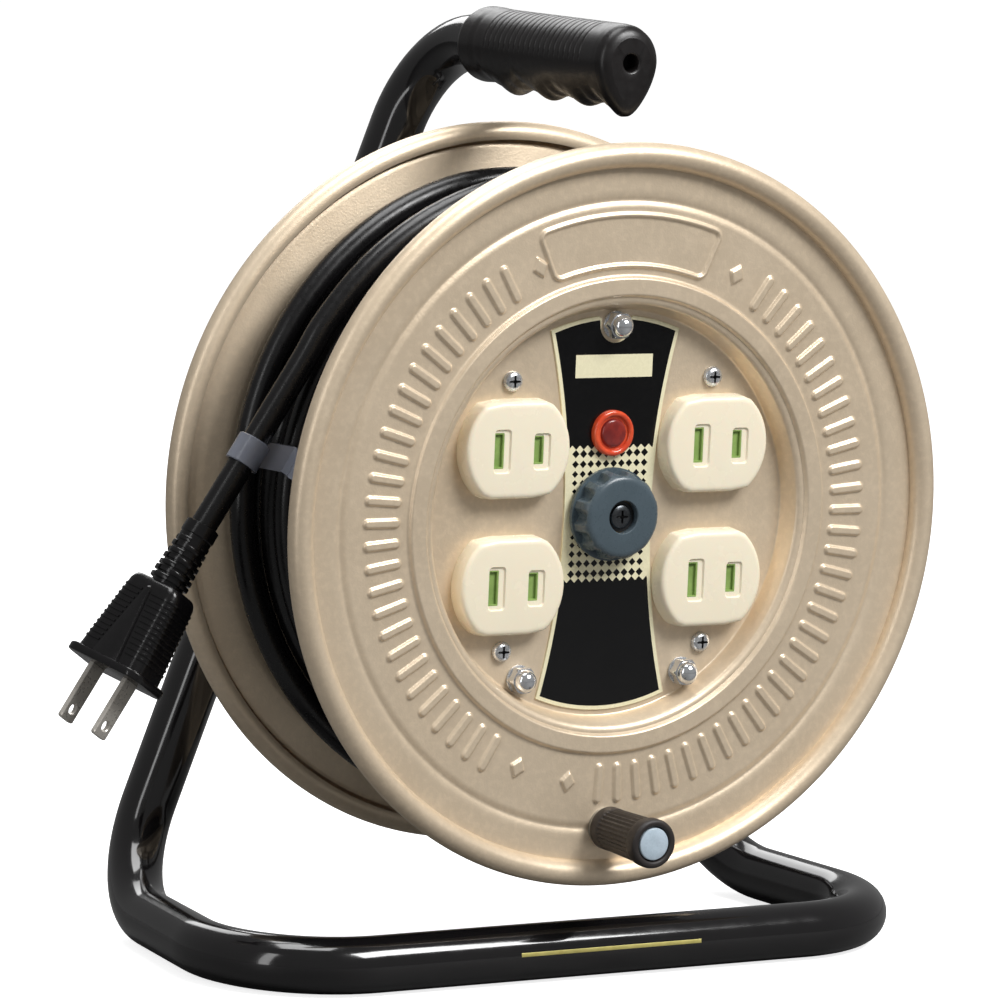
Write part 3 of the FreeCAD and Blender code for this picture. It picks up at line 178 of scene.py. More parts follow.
# Dark colour for the walls of the screws' cross recesses: painted shade, as the heads are one plated metal
# throughout
RECESS_SHADE = finish_of("screw_recess_painted_shade", rgb(34, 34, 35), rgb(44, 44, 45),
                   300, 1800, 0.01, (0.4, 0.5), Metallic=0.5)
FOIL = finish_of("bare_plate", rgb(190, 188, 182), rgb(172, 170, 164),
                 200, 2000, 0.01, (0.3, 0.45), Metallic=0.9)
GOLD = finish_of("gold_stripe", rgb(206, 196, 120), rgb(188, 176, 100),
                 200, 1500, 0.01, (0.3, 0.4), Metallic=0.3)


def lamp_lens(name, colour, other, clear):
    g = Graph(name)
    g.set(Base_Color=g.mix(g.ramp(g.noise(350, 3), 0.35, 0.65, 0.0, 1.0), colour, other))
    g.set(Roughness=g.ramp(g.noise(900, 2), 0.3, 0.7, 0.08, 0.16))
    g.set(Normal=g.bump(g.noise(1200, 2), 1.0, 0.01), Transmission_Weight=clear, IOR=1.49)
    g.set(Coat_Weight=0.5, Coat_Roughness=0.05)
    return g.material


def band_plastic():
    g = Graph("band_plastic")
    g.set(Base_Color=g.mix(g.noise(200, 3), rgb(150, 154, 166), rgb(132, 136, 148)))
    g.set(Roughness=g.ramp(g.noise(700, 2), 0.3, 0.7, 0.16, 0.26))
    g.set(Normal=g.bump(g.noise(900, 2), 1.0, 0.004), Transmission_Weight=0.4, IOR=1.5)
    return g.material


LENS = lamp_lens("lamp_ring", rgb(244, 98, 58), rgb(226, 76, 44), 0.12)
LENS_MIDDLE = lamp_lens("lamp_middle", rgb(166, 58, 50), rgb(132, 46, 44), 0.3)
CLEAR = band_plastic()


# Meshes

def piece(name, parts, body, looks, replaces=(), sharp=38):
    """One object from (points, faces) parts in millimetres; looks has one material for each part, or one."""
    looks = looks if isinstance(looks, (list, tuple)) else [looks]
    points, faces, marks = [], [], []
    for number, (some, more) in enumerate(parts):
        base = len(points)
        points += some
        faces += [tuple(base + i for i in face) for face in more]
        marks += [number if len(looks) > 1 else 0] * len(more)
    mesh = bpy.data.meshes.new(name)
    mesh.from_pydata([Vector(p) * MM for p in points], [], faces)
    mesh.polygons.foreach_set("material_index", marks)
    for look in looks:
        mesh.materials.append(look)
    work = bmesh.new()
    work.from_mesh(mesh)
    bmesh.ops.recalc_face_normals(work, faces=work.faces)
    work.to_mesh(mesh)
    work.free()
    mesh.shade_smooth()
    mesh.set_sharp_from_angle(angle=math.radians(sharp))
    made = bpy.data.objects.new(name, mesh)
    bpy.context.scene.collection.objects.link(made)
    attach(made, body)
    if replaces:
        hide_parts(*replaces)
    return made


def skin(rings, closed=False, caps=True):
    """A surface over rings of points, each ring with the same number of points."""
    size = len(rings[0])
    points = [p for ring in rings for p in ring]
    faces = []
    for k in range(len(rings) - (0 if closed else 1)):
        a, b = k * size, (k + 1) % len(rings) * size
        faces += [(a + i, a + (i + 1) % size, b + (i + 1) % size, b + i) for i in range(size)]
    if caps and not closed:
        faces += [tuple(range(size)), tuple(range(len(points) - size, len(points)))]
    return points, faces


def turned(profile, x=0.0, z=AXLE, steps=96, closed=False, caps=True, wave=None):
    """Rings about a line along Y, from (radius, y) points; wave gives extra radius at (turn, y)."""
    rings = []
    for r, y in profile:
        ring = []
        for i in range(steps):
            a = 2 * math.pi * i / steps
            reach = r + (wave(a, y, r) if wave else 0.0)
            ring.append((x + reach * math.cos(a), y, z + reach * math.sin(a)))
        rings.append(ring)
    return skin(rings, closed, caps)


def arc(a, b, bend, count=8):
    """Points after a up to b on the arc with that radius: left turns are positive."""
    (ax, ay), (bx, by) = a, b
    length = math.hypot(bx - ax, by - ay)
    nx, ny = -(by - ay) / length, (bx - ax) / length
    rise = math.copysign(math.sqrt(max(bend * bend - length * length / 4, 0)), bend)
    cx, cy = (ax + bx) / 2 + nx * rise, (ay + by) / 2 + ny * rise
    t0, t1 = math.atan2(ay - cy, ax - cx), math.atan2(by - cy, bx - cx)
    if bend > 0 and t1 < t0:
        t1 += 2 * math.pi
    if bend < 0 and t1 > t0:
        t1 -= 2 * math.pi
    r = abs(bend)
    steps = [t0 + (t1 - t0) * k / count for k in range(1, count + 1)]
    return [(cx + r * math.cos(t), cy + r * math.sin(t)) for t in steps]


def traced(corners, count=8):
    """Points along (x, y) corners, with an arc where a corner has a third number."""
    points = [tuple(corners[0][:2])]
    for corner in corners[1:]:
        if len(corner) > 2:
            points += arc(points[-1], corner[:2], corner[2], count)
        else:
            points.append(tuple(corner))
    return points


def carried(node, look):
    """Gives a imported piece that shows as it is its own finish."""
    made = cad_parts[node]
    made.data.materials.clear()
    made.data.materials.append(look)
    return made


def bend_path(corners, radii, step=3.0):
    """Points along straight runs joined by tangent arcs."""
    corners = [Vector(c) for c in corners]
    points = [corners[0]]
    for before, corner, after, radius in zip(corners, corners[1:], corners[2:], radii):
        a, b = (before - corner).normalized(), (after - corner).normalized()
        half = a.angle(b) / 2
        middle = (a + b).normalized()
        centre = corner + middle * (radius / math.sin(half))
        first, last = corner + a * (radius / math.tan(half)), corner + b * (radius / math.tan(half))
        u, w = first - centre, last - centre
        turn = u.angle(w)
        count = max(4, int(turn * radius / step))
        points.append(first)
        for k in range(1, count + 1):
            t = turn * k / count
            points.append(centre + (u * math.sin(turn - t) + w * math.sin(t)) / math.sin(turn))
    points.append(corners[-1])
    return points


def tube(points, radius, sides=40, start=None):
    """A round bar along points."""
    points = [Vector(p) for p in points]
    way = (points[1] - points[0]).normalized()
    side = way.orthogonal().normalized() if start is None else start
    rings = []
    for i, p in enumerate(points):
        ahead_way = (points[min(i + 1, len(points) - 1)] - points[max(i - 1, 0)]).normalized()
        side = (side - ahead_way * side.dot(ahead_way)).normalized()
        other = ahead_way.cross(side)
        reach = radius(i) if callable(radius) else radius
        turns = [2 * math.pi * k / sides for k in range(sides)]
        rings.append([p + (side * math.cos(t) + other * math.sin(t)) * reach for t in turns])
    return skin(rings)


def smooth(t):
    t = max(0.0, min(1.0, t))
    return t * t * (3 - 2 * t)


def spot(radius, angle):
    """X and Z of a point about the axle."""
    a = math.radians(angle)
    return radius * math.cos(a), AXLE + radius * math.sin(a)


# Stand tube with its grip, end cap and stripe
stand_route = [(0, -40, 258), (0, 64, 258), (-100.5, 52, 8), (-110, -52, 8), (110, -52, 8), (100.5, 52, 8)]
short_share = (AXLE + 30 - 8) / 250
stand_route.append((100.5 * (1 - short_share), 52 + 12 * short_share, AXLE + 30))
stand_line = bend_path(stand_route, [27, 33, 36, 36, 33], 2.5)
piece("stand_tube_skin", [tube(stand_line, 8.0, 56)], "stand", ENAMEL, ["stand_tube"])
carried("leg_end_cap", BLACK)
carried("axle_bracket", ENAMEL)
carried("bracket_welds", ENAMEL)


def stripe_part():
    """A thin painted line along the front of the base bar."""
    rings = []
    for x in [-28.6 + 59.2 * k / 24 for k in range(25)]:
        ring = []
        for t, lift in ((168, 0.02), (168.4, 0.05), (175.6, 0.05), (176, 0.02)):
            a = math.radians(t)
            ring.append((x, -52 + (8 + lift) * math.cos(a), 8 + (8 + lift) * math.sin(a)))
        rings.append(ring)
    return skin(rings)


def grip_parts():
    """The moulded grip: finger swells below, ribs above, a pointed front end with an eye."""
    z0, y0 = 258.0, -50.5
    keys = [
        (0.0, 11.6, 6.4, 7.0), (0.5, 13.6, 8.0, 8.6), (1.6, 15.0, 9.2, 9.9), (3.4, 15.2, 9.7, 10.5),
        (6.0, 13.4, 9.8, 10.7), (10.0, 11.3, 9.8, 10.7), (15.5, 12.2, 9.8, 10.7), (21.8, 13.6, 9.8, 10.7),
        (27.0, 12.2, 9.8, 10.7), (31.6, 11.0, 9.8, 10.7), (36.0, 12.1, 9.8, 10.7), (41.4, 13.6, 9.8, 10.7),
        (46.5, 12.0, 9.9, 10.7), (51.0, 10.3, 9.9, 10.7), (56.0, 12.0, 10.0, 10.7),
        (61.0, 13.6, 10.1, 10.7), (66.0, 11.8, 10.2, 10.7), (70.5, 10.2, 10.4, 10.8),
        (74.0, 10.8, 10.8, 11.0), (78.2, 11.0, 11.0, 11.0),
        (79.6, 10.5, 10.5, 10.5), (80.0, 9.6, 9.6, 9.6), (80.0, 8.05, 8.05, 8.05),
    ]

    def size_at(s):
        for (s0, *a), (s1, *b) in zip(keys, keys[1:]):
            if s <= s1:
                t = (s - s0) / max(s1 - s0, 1e-6)
                t = t * t * (3 - 2 * t) if 6 < s < 74 else t
                return [p + (q - p) * t for p, q in zip(a, b)]
        return keys[-1][1:]

    stations = [0, 0.15, 0.5, 1, 1.6, 2.4, 3.4] + [4 + 0.25 * k for k in range(297)]
    stations += [78.4, 78.9, 79.3, 79.6, 79.8, 80]
    rings = []
    for s in sorted(set(stations)):
        drop, wide, high = size_at(s)
        rib = 0.0
        if 12.0 < s < 67.0:
            phase = ((s - 12.0) / 2.75) % 1.0
            rib = 0.75 * smooth(0.5 - abs(phase - 0.25) * 2.6)
        ring = []
        for k in range(72):
            a = 2 * math.pi * k / 72
            side, rise = math.sin(a), math.cos(a)
            cut = rib * smooth((rise + 0.05) * 5)
            if rise >= 0:
                ring.append(((wide - cut) * side, y0 + s, z0 + (high - cut) * rise))
                continue
            lean = (-rise) ** 1.5
            pinch = 0.30 * lean * max(0.0, (drop - high) / 4.6)
            ring.append((wide * side * (1 - pinch), y0 + s, z0 + drop * rise))
        rings.append(ring)
    outside = skin(rings, caps=False)
    front = rings[0]
    middle = [(p[0] * 0.55, y0 - 0.15, z0 + (p[2] - z0) * 0.42) for p in front]
    turns = [2 * math.pi * k / 72 for k in range(72)]
    eye = [[(r * math.sin(a), y, z0 + r * math.cos(a)) for a in turns]
           for r, y in ((3.2, y0 - 0.12), (2.7, y0 + 0.05), (2.5, y0 + 0.4), (2.5, y0 + 6.0))]
    face = skin([front, middle] + eye, caps=False)
    floor = (eye[-1], [tuple(range(72))])
    back = (rings[-1], [tuple(range(72))])
    return [outside, face, floor, back]


piece("hand_grip_skin", grip_parts(), "stand", GRIP, ["hand_grip"], sharp=50)

# Drum flanges: the section is (radius, depth behind the rim's middle plane)

def flange_section():
    front = traced([
        (61.6, 0.8), (62.9, -0.4), (66.6, -0.4), (67.8, 0.8), (87.6, 0.8), (88.8, 1.5), (90.0, 0.8),
        (97.85, 0.8), (101.3, -3.7, 4.2), (105.0, 0.0, 3.7), (101.3, 3.7, 3.7), (99.9, 3.43, 3.7),
        (100.25, 2.52), (101.3, 2.7, -2.7),
        (104.0, 0.0, -2.7), (101.3, -2.7, -2.7), (98.8, 1.15, -3.2), (97.5, 1.8), (90.3, 1.8), (88.8, 2.55),
        (87.3, 1.8), (62.0, 1.8), (60.0, 2.9, -1.9), (58.9, 7.1), (56.5, 8.5, 2.6), (9.4, 8.5),
    ])
    dish = traced([(9.4, 7.5), (57.2, 7.5), (57.85, 7.05, -0.7), (59.4, 2.1), (61.6, 0.8, 2.2)])
    return front, dish


def flange_skin(name, face, way, body, node, raised):
    """The rolled sheet; its flat band is a finer surface where it carries raised marks."""
    outer, dish = flange_section()
    at_face = [(r, face + way * u) for r, u in outer]
    centre = [(r, face + way * u) for r, u in dish]
    parts = [turned(centre, steps=240, caps=False)]
    if raised is None:
        parts.append(turned(at_face, steps=240, caps=False))
    else:
        parts.append(turned([p for k, p in enumerate(at_face) if k > 6], steps=240, caps=False))
        steps = 1440
        radii = [61.6 + 0.31 * k for k in range(21)] + [68.4, 69.0] + [69.6 + 0.36 * k for k in range(46)]
        radii += [86.4, 87.0, 87.6, 88.0, 88.4, 88.8, 89.2, 89.6, 90.0]
        radii += [91 + 1.0 * k for k in range(7)] + [97.85]
        rings = []
        for r in radii:
            dip = 0.7 * max(0.0, 1 - abs(r - 88.8) / 1.7)
            dip -= 1.2 * min(smooth((r - 61.5) / 1.1), smooth((67.9 - r) / 1.1))
            ring = []
            for i in range(steps):
                a = 2 * math.pi * i / steps
                lift = raised(r, math.degrees(a)) if 69 < r < 86.3 else 0.0
                ring.append((r * math.cos(a), face + way * (BAND + dip - lift), AXLE + r * math.sin(a)))
            rings.append(ring)
        parts.append(skin(rings, caps=False))
    return piece(name, parts, body, PAINT, [node], sharp=60)


LOZENGES = (112.5, 62.5, -100.0, -113.0)
RIB_ARCS = ((62.5 - 5.5, -100.0 + 5.5), (247.0 - 5.5, 112.5 + 5.5))
RIB_STEP = 4.55


def marks_height(r, angle):
    """Raised marks on the band: a framed cartouche on top, four lozenges and two runs of short ribs."""
    rho = r - 76.0
    edge = 0.3

    def away(a):
        return abs((angle - a + 180) % 360 - 180)

    near = []
    off = away(90.0)
    if off < 30:
        s = off * math.pi / 180 * r
        half_wide, half_high = 26.6 + rho * 0.42, 7.1
        dx, dz = s - (half_wide - 2.2), abs(rho - 1.6) - (half_high - 2.2)
        d = math.hypot(max(dx, 0), max(dz, 0)) + min(max(dx, dz), 0) - 2.2
        near.append(abs(d) - 0.55)
    for a in LOZENGES:
        s = away(a) * math.pi / 180 * r
        if s < 6:
            near.append((s / 2.3 + abs(rho) / 2.9 - 1) * 1.8)
    for start, end in RIB_ARCS:
        count = int((start - end) / RIB_STEP)
        step = (start - end) / count
        k = round((start - step / 2 - ((angle - end) % 360 + end)) / step)
        if 0 <= k < count and (angle - end) % 360 <= start - end:
            s = away(start - step * (k + 0.5)) * math.pi / 180 * r
            near.append(math.hypot(s, max(abs(rho) - 4.4, 0)) - 1.15)
    d = min(near) if near else 9.0
    return 0.8 * smooth(0.5 - d / (2 * edge))


flange_skin("front_flange_skin", FRONT, 1, "drum", "front_flange", marks_height)
flange_skin("rear_flange_skin", REAR, -1, "drum", "rear_flange", None)

# Data plate: cream sheet with black print
WAIST, CORNER_X, LABEL_R = 14.2, 21.0, 56.0
CORNER_Z = math.sqrt(LABEL_R**2 - CORNER_X**2)
SIDE_R = (CORNER_Z**2 + (CORNER_X - WAIST) ** 2) / (2 * (CORNER_X - WAIST))


def half_width(z):
    return WAIST + SIDE_R - math.sqrt(SIDE_R**2 - z * z)


def plate_columns(inset, low, high, notch):
    """Columns of the plate's shape between two height limits: (x, bottom, top)."""
    columns = []
    reach = half_width(CORNER_Z) - inset
    count = 168
    for k in range(count + 1):
        x = -reach + 2 * reach * k / count
        top = math.sqrt((LABEL_R - inset) ** 2 - x * x)
        if notch and abs(x) < notch:
            top = min(top, 53.2 - math.sqrt(notch * notch - x * x))
        bottom = low(x)
        if abs(x) > half_width(0) - inset:
            z = 0.0
            while half_width(z) - inset < abs(x):
                z += 0.05
            bottom = max(bottom, z)
        top = min(top, high)
        columns.append((x, min(bottom, top), top))
    return columns


def columns_part(columns, y, flip=1):
    points, faces = [], []
    for x, a, b in columns:
        points += [(x, y, AXLE + flip * a), (x, y, AXLE + flip * b)]
    for k in range(len(columns) - 1):
        faces.append((2 * k, 2 * k + 1, 2 * k + 3, 2 * k + 2))
    return points, faces


def zigzag(x):
    return 18.2 + abs((x / 2.5) % 1.0 - 0.5) * 2.5


def rounding(z_sign, reach, count):
    """Points along the plate's round end, from one side to the other, inside that reach."""
    places = [-reach + 2 * reach * k / count for k in range(1, count)]
    return [(x, z_sign * math.sqrt(LABEL_R**2 - x * x)) for x in places]


def plate_parts():
    """The sheet: waisted sides, round ends and a notch about the upper nut."""
    face = PANEL - 0.5
    rows = [-CORNER_Z + 2 * CORNER_Z * k / 120 for k in range(121)]
    side = [(half_width(z), z) for z in rows]
    top = rounding(1, CORNER_X, 60)
    turns = [math.radians(32 - 244 * k / 24) for k in range(25)]
    cut = [(5.0 * math.cos(a), 53.2 + 5.0 * math.sin(a)) for a in turns]
    ring = side + [p for p in reversed(top) if p[0] > 5.0]
    ring += [p for p in cut if math.hypot(*p) < LABEL_R]
    ring += [p for p in reversed(top) if p[0] < -5.0]
    ring += [(-x, z) for x, z in reversed(side)] + rounding(-1, CORNER_X, 60)
    back = [(x, PANEL, AXLE + z) for x, z in ring]
    edge = [(x, face + 0.12, AXLE + z) for x, z in ring]
    lip = [(x * 0.997, face, AXLE + z * 0.9985) for x, z in ring]
    return [skin([back, edge, lip])]


def print_parts():
    y = PANEL - 0.5 - 0.015
    parts = [
        columns_part(plate_columns(1.15, zigzag, 99, 5.05), y),
        columns_part(plate_columns(1.15, zigzag, 99, 0), y, -1),
    ]
    points, faces = [], []
    for z, size in ((17.0, 2.35), (14.1, 2.2), (11.3, 2.0), (8.8, 1.75), (6.5, 1.45)):
        for sign in (1, -1):
            for k in range(10):
                x = -11.25 + 2.5 * k
                base = len(points)
                h = size / 2
                points += [(x - h, y, AXLE + sign * z), (x, y, AXLE + sign * z - h),
                           (x + h, y, AXLE + sign * z), (x, y, AXLE + sign * z + h)]
                faces.append((base, base + 1, base + 2, base + 3))
    parts.append((points, faces))
    return parts


piece("data_plate_sheet", plate_parts(), "drum", CREAM, ["data_plate"])
piece("data_plate_print", print_parts(), "drum", INK)
patch = [(-12.55, 38.4), (12.55, 38.4), (12.55, 44.9), (-12.55, 44.9)]
patch_points = [(x, PANEL - 0.53, AXLE + z) for x, z in patch]
piece("data_plate_patch", [(patch_points, [(0, 1, 2, 3)])], "drum", CREAM)
carried("rear_plate", FOIL)

# Outlets

def outlet_outline(inset, count=22):
    """The face's outline: a circle with flats above and below, its corners eased."""
    r, flat, ease = 17.0 - inset, 13.9 - inset, 1.6
    corner = math.asin(flat / r)
    points = []
    for side in (1, -1):
        for k in range(count + 1):
            t = -corner + 0.09 + (2 * corner - 0.18) * k / count
            points.append((side * r * math.cos(t), side * r * math.sin(t)))
        x = r * math.cos(corner)
        points += [(side * (x - 0.25), side * (flat - 0.42)), (side * (x - 0.9), side * (flat - 0.1)),
                   (side * (x - ease), side * flat)]
        points += [(side * (x - ease) * (1 - k / 3), side * flat) for k in range(1, 6)]
    return points


def outlet_part(x0, z0):
    face = PANEL - 5.6
    rings = []
    for inset, y in ((0.0, PANEL + 1.0), (0.0, PANEL), (0.35, face + 1.3), (0.5, face + 0.75),
                     (0.85, face + 0.3), (1.4, face + 0.06), (2.1, face)):
        rings.append([(x0 + x, y, z0 + z) for x, z in outlet_outline(inset)])
    return skin(rings)


def rounded_box(x0, y0, z0, wide, deep, high, corner, draft):
    """A cutter with rounded corners that narrows by draft towards its back."""
    rings = []
    for y, inset in ((y0 - 1.0, -draft / max(deep, 0.1)), (y0 + deep, draft)):
        a, b, c = wide / 2 - inset, high / 2 - inset, corner
        ring = []
        for sx, sz, start in ((1, 1, 0), (-1, 1, 90), (-1, -1, 180), (1, -1, 270)):
            for k in range(6):
                t = math.radians(start + 18 * k)
                ring.append((x0 + sx * (a - c) + c * math.cos(t), y, z0 + sz * (b - c) + c * math.sin(t)))
        rings.append(ring)
    return skin(rings)


def cut_with(made, parts, name):
    """Cuts closed shapes out of a piece."""
    mesh = bpy.data.meshes.new(name)
    points, faces = [], []
    for some, more in parts:
        faces += [tuple(len(points) + i for i in face) for face in more]
        points += some
    mesh.from_pydata([Vector(p) * MM for p in points], [], faces)
    work = bmesh.new()
    work.from_mesh(mesh)
    bmesh.ops.recalc_face_normals(work, faces=work.faces)
    work.to_mesh(mesh)
    work.free()
    cutter = bpy.data.objects.new(name, mesh)
    bpy.context.scene.collection.objects.link(cutter)
    modifier = made.modifiers.new("cut", "BOOLEAN")
    modifier.operation = "DIFFERENCE"
    modifier.solver = "EXACT"
    modifier.object = cutter
    bpy.context.view_layer.update()
    result = bpy.data.meshes.new_from_object(made.evaluated_get(bpy.context.evaluated_depsgraph_get()))
    made.modifiers.clear()
    made.data = result
    bpy.data.objects.remove(cutter)
    made.data.shade_smooth()
    made.data.set_sharp_from_angle(angle=math.radians(38))
    return made


def slot_lining(x0, face, z0, high):
    """The green frame that lines a slot's walls, with its shutter behind."""
    rings = []
    for deep, wide, more in ((3.4, 3.34, 1.04), (0.66, 3.34, 1.04), (0.6, 3.2, 0.9), (0.6, 2.5, 0.2),
                             (0.75, 2.3, 0.0), (3.4, 2.3, 0.0)):
        y, a, b = face + deep, wide / 2, (high + more) / 2
        rings.append([(x0 - a, y, z0 - b), (x0 + a, y, z0 - b), (x0 + a, y, z0 + b), (x0 - a, y, z0 + b)])
    shutter = [[(x, face + deep, z) for x, _, z in rings[1]] for deep in (1.5, 2.3)]
    return [skin(rings, closed=True), skin(shutter)]


for name, (sx, sz) in QUARTERS.items():
    x0, z0 = sx * 32.5, AXLE + sz * 19.2
    face = PANEL - 5.6
    made = piece(f"outlet_{name}_housing", [outlet_part(x0, z0)], "drum", IVORY,
                 [f"outlet_{name}"])
    lining = []
    for side, high in ((-1, 9.0), (1, 7.0)):
        sx0 = x0 + side * 6.35
        sink_z = z0 - 0.2 + (high - 9) * 0.15
        cut_with(made, [rounded_box(sx0 + 0.95, face, sink_z, 5.4, 0.55, high + 3.4, 1.1, 0.35)], "sink")
        cut_with(made, [rounded_box(sx0, face, z0, 3.3, 3.6, high + 1.0, 0.3, 0.02)], "slot")
        lining += slot_lining(sx0, face, z0, high)
    made.data.materials.clear()
    made.data.materials.append(IVORY)
    piece(f"outlet_{name}_lining", lining, "drum", GREEN, sharp=20)
    carried(f"outlet_liner_{name}", GREEN)
    carried(f"outlet_contacts_{name}", BRASS)

# Cord: wound on the drum, with its free end held on the stand side
CORD = 7.5
WIND_R, WIND_START, PITCH, TURNS = 82.2, -49.55, 8.6, 7
TAIL_R, TAIL_Y = 90.1, -15.5
LAYERS = (66.8, 74.5)
INLET, INLET_Y = -40.0, -19.5
STEP = 15.0
CUT_IN = math.cos(math.radians(7.5))


def on_drum(radius, angle, y):
    """A control point whose curve runs at that radius about the axle."""
    a = math.radians(angle)
    reach = radius / CUT_IN
    return (reach * math.cos(a), y, AXLE + reach * math.sin(a))


def winding_route():
    """From the inlet to the front flange, three layers to and fro, then up and over to the free end."""
    rear_y = WIND_START + PITCH * TURNS
    points = []
    angle = INLET

    def wind(degrees, r_from, r_to, y_from, y_to, climb=60.0):
        """Adds a stretch of winding; the radius changes over its first degrees."""
        nonlocal angle
        steps = round(degrees / STEP)
        for k in range(steps):
            t = k / steps
            reach = r_from + (r_to - r_from) * smooth(k * STEP / climb)
            points.append(on_drum(reach, angle + degrees * t, y_from + (y_to - y_from) * t))
        angle += degrees

    inner, middle = LAYERS
    wind(300, inner, inner, INLET_Y, WIND_START)
    wind(360 * 6, inner, inner, WIND_START, rear_y)
    wind(360 * 6 + 120, inner, middle, rear_y, WIND_START)
    wind(360 * TURNS, middle, WIND_R, WIND_START, rear_y)
    wind(420, WIND_R, TAIL_R, rear_y, TAIL_Y, 90.0)
    points.append(on_drum(TAIL_R, angle, TAIL_Y))
    return points


def cord_curve(name, points, look):
    data = bpy.data.curves.new(name, "CURVE")
    data.dimensions = "3D"
    spline = data.splines.new("NURBS")
    spline.points.add(len(points) - 1)
    for point, place in zip(spline.points, points):
        point.co = (*(Vector(place) * MM), 1)
    spline.order_u = 3
    spline.use_endpoint_u = True
    data.bevel_depth = CORD / 2 * MM
    data.bevel_resolution = 6
    data.resolution_u = 4
    data.use_fill_caps = True
    data.materials.append(look)
    made = bpy.data.objects.new(name, data)
    bpy.context.scene.collection.objects.link(made)
    return made


wound = cord_curve("cord_wound", winding_route(), SHEATH)
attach(wound, "drum")
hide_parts("cord_outer_layer", "cord_inner_layers")


def bare_curve_points(made):
    """The points that a cord's centre line runs through."""
    copy = made.copy()
    copy.data = made.data.copy()
    copy.data.bevel_depth = 0
    bpy.context.scene.collection.objects.link(copy)
    bpy.context.view_layer.update()
    mesh = bpy.data.meshes.new_from_object(copy)
    points = [v.co.copy() for v in mesh.vertices]
    bpy.data.objects.remove(copy)
    return points


wound_line = bare_curve_points(wound)

LEAVE = 147.0
leave_a = math.radians(LEAVE)
tail_way = Vector((-math.sin(leave_a), 0, math.cos(leave_a)))
leave = Vector((TAIL_R * math.cos(leave_a), TAIL_Y, AXLE + TAIL_R * math.sin(leave_a)))
across = Vector((0.353, -0.907, -0.23))
across = (across - tail_way * across.dot(tail_way)).normalized()
broad = across.cross(tail_way).normalized()


def along(t, u=0.0, v=0.0):
    """A point beside the straight stretch of the tail."""
    return leave + tail_way * t + across * u + broad * v


tail_points = [on_drum(TAIL_R, 80.0 + 67.0 * k / 5, TAIL_Y) for k in range(6)]
tail_points += [tuple(along(t)) for t in (6.0, 30.0, 50.0, 67.0)]
tail = cord_curve("cord_tail_line", tail_points, SHEATH)
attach(tail, "stand")
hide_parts("cord_tail")

# Strain relief, plug, blades and band
RELIEF_FROM, PLUG_TOP, PLUG_FRONT = 64.0, 84.0, 112.0


def relief_parts():
    """A tapering core with rows of square blocks."""
    parts = [tube([along(t) for t in (RELIEF_FROM, RELIEF_FROM + 0.4, 67.5, 75.0, PLUG_TOP)],
                  lambda i: (4.35, 4.75, 4.7, 4.65, 4.75)[i], 40, across)]
    parts.append(tube([along(t) for t in (RELIEF_FROM - 0.02, RELIEF_FROM + 0.2, 67.6, 67.9)],
                      lambda i: (4.6, 4.9, 5.0, 4.7)[i], 40, across))
    for row in range(7):
        t = 69.9 + 2.05 * row
        reach = 5.05 + 0.14 * row
        for k in range(8):
            if (k + row) % 2:
                continue
            a0 = 2 * math.pi * (k - 0.42) / 8
            a1 = 2 * math.pi * (k + 0.42 + 0.16) / 8
            rings = []
            for dt, lift in ((-0.75, -0.9), (-0.7, -0.12), (-0.5, 0.0), (0.5, 0.0), (0.7, -0.12),
                             (0.75, -0.9)):
                ring = []
                for j in range(7):
                    a = a0 + (a1 - a0) * j / 6
                    r = reach + lift
                    ring.append(along(t + dt, r * math.cos(a), r * math.sin(a)))
                for j in range(6, -1, -1):
                    a = a0 + (a1 - a0) * j / 6
                    ring.append(along(t + dt, 4.2 * math.cos(a), 4.2 * math.sin(a)))
                rings.append(ring)
            parts.append(skin(rings))
        parts.append(tube([along(t - 0.6), along(t - 0.5), along(t + 0.5), along(t + 0.6)],
                          lambda i: (4.7, reach - 0.35, reach - 0.35, 4.7)[i], 40, across))
    return parts


def rounded_ring(t, wide, thick, corner, count=8):
    ring = []
    a, b = wide / 2, thick / 2
    for cu, cv, start in ((a - corner, b - corner, 0), (corner - a, b - corner, 90),
                          (corner - a, corner - b, 180), (a - corner, corner - b, 270)):
        for k in range(count):
            turn = math.radians(start + 90 * k / (count - 1))
            ring.append(along(t, cu + corner * math.cos(turn), cv + corner * math.sin(turn)))
    return ring


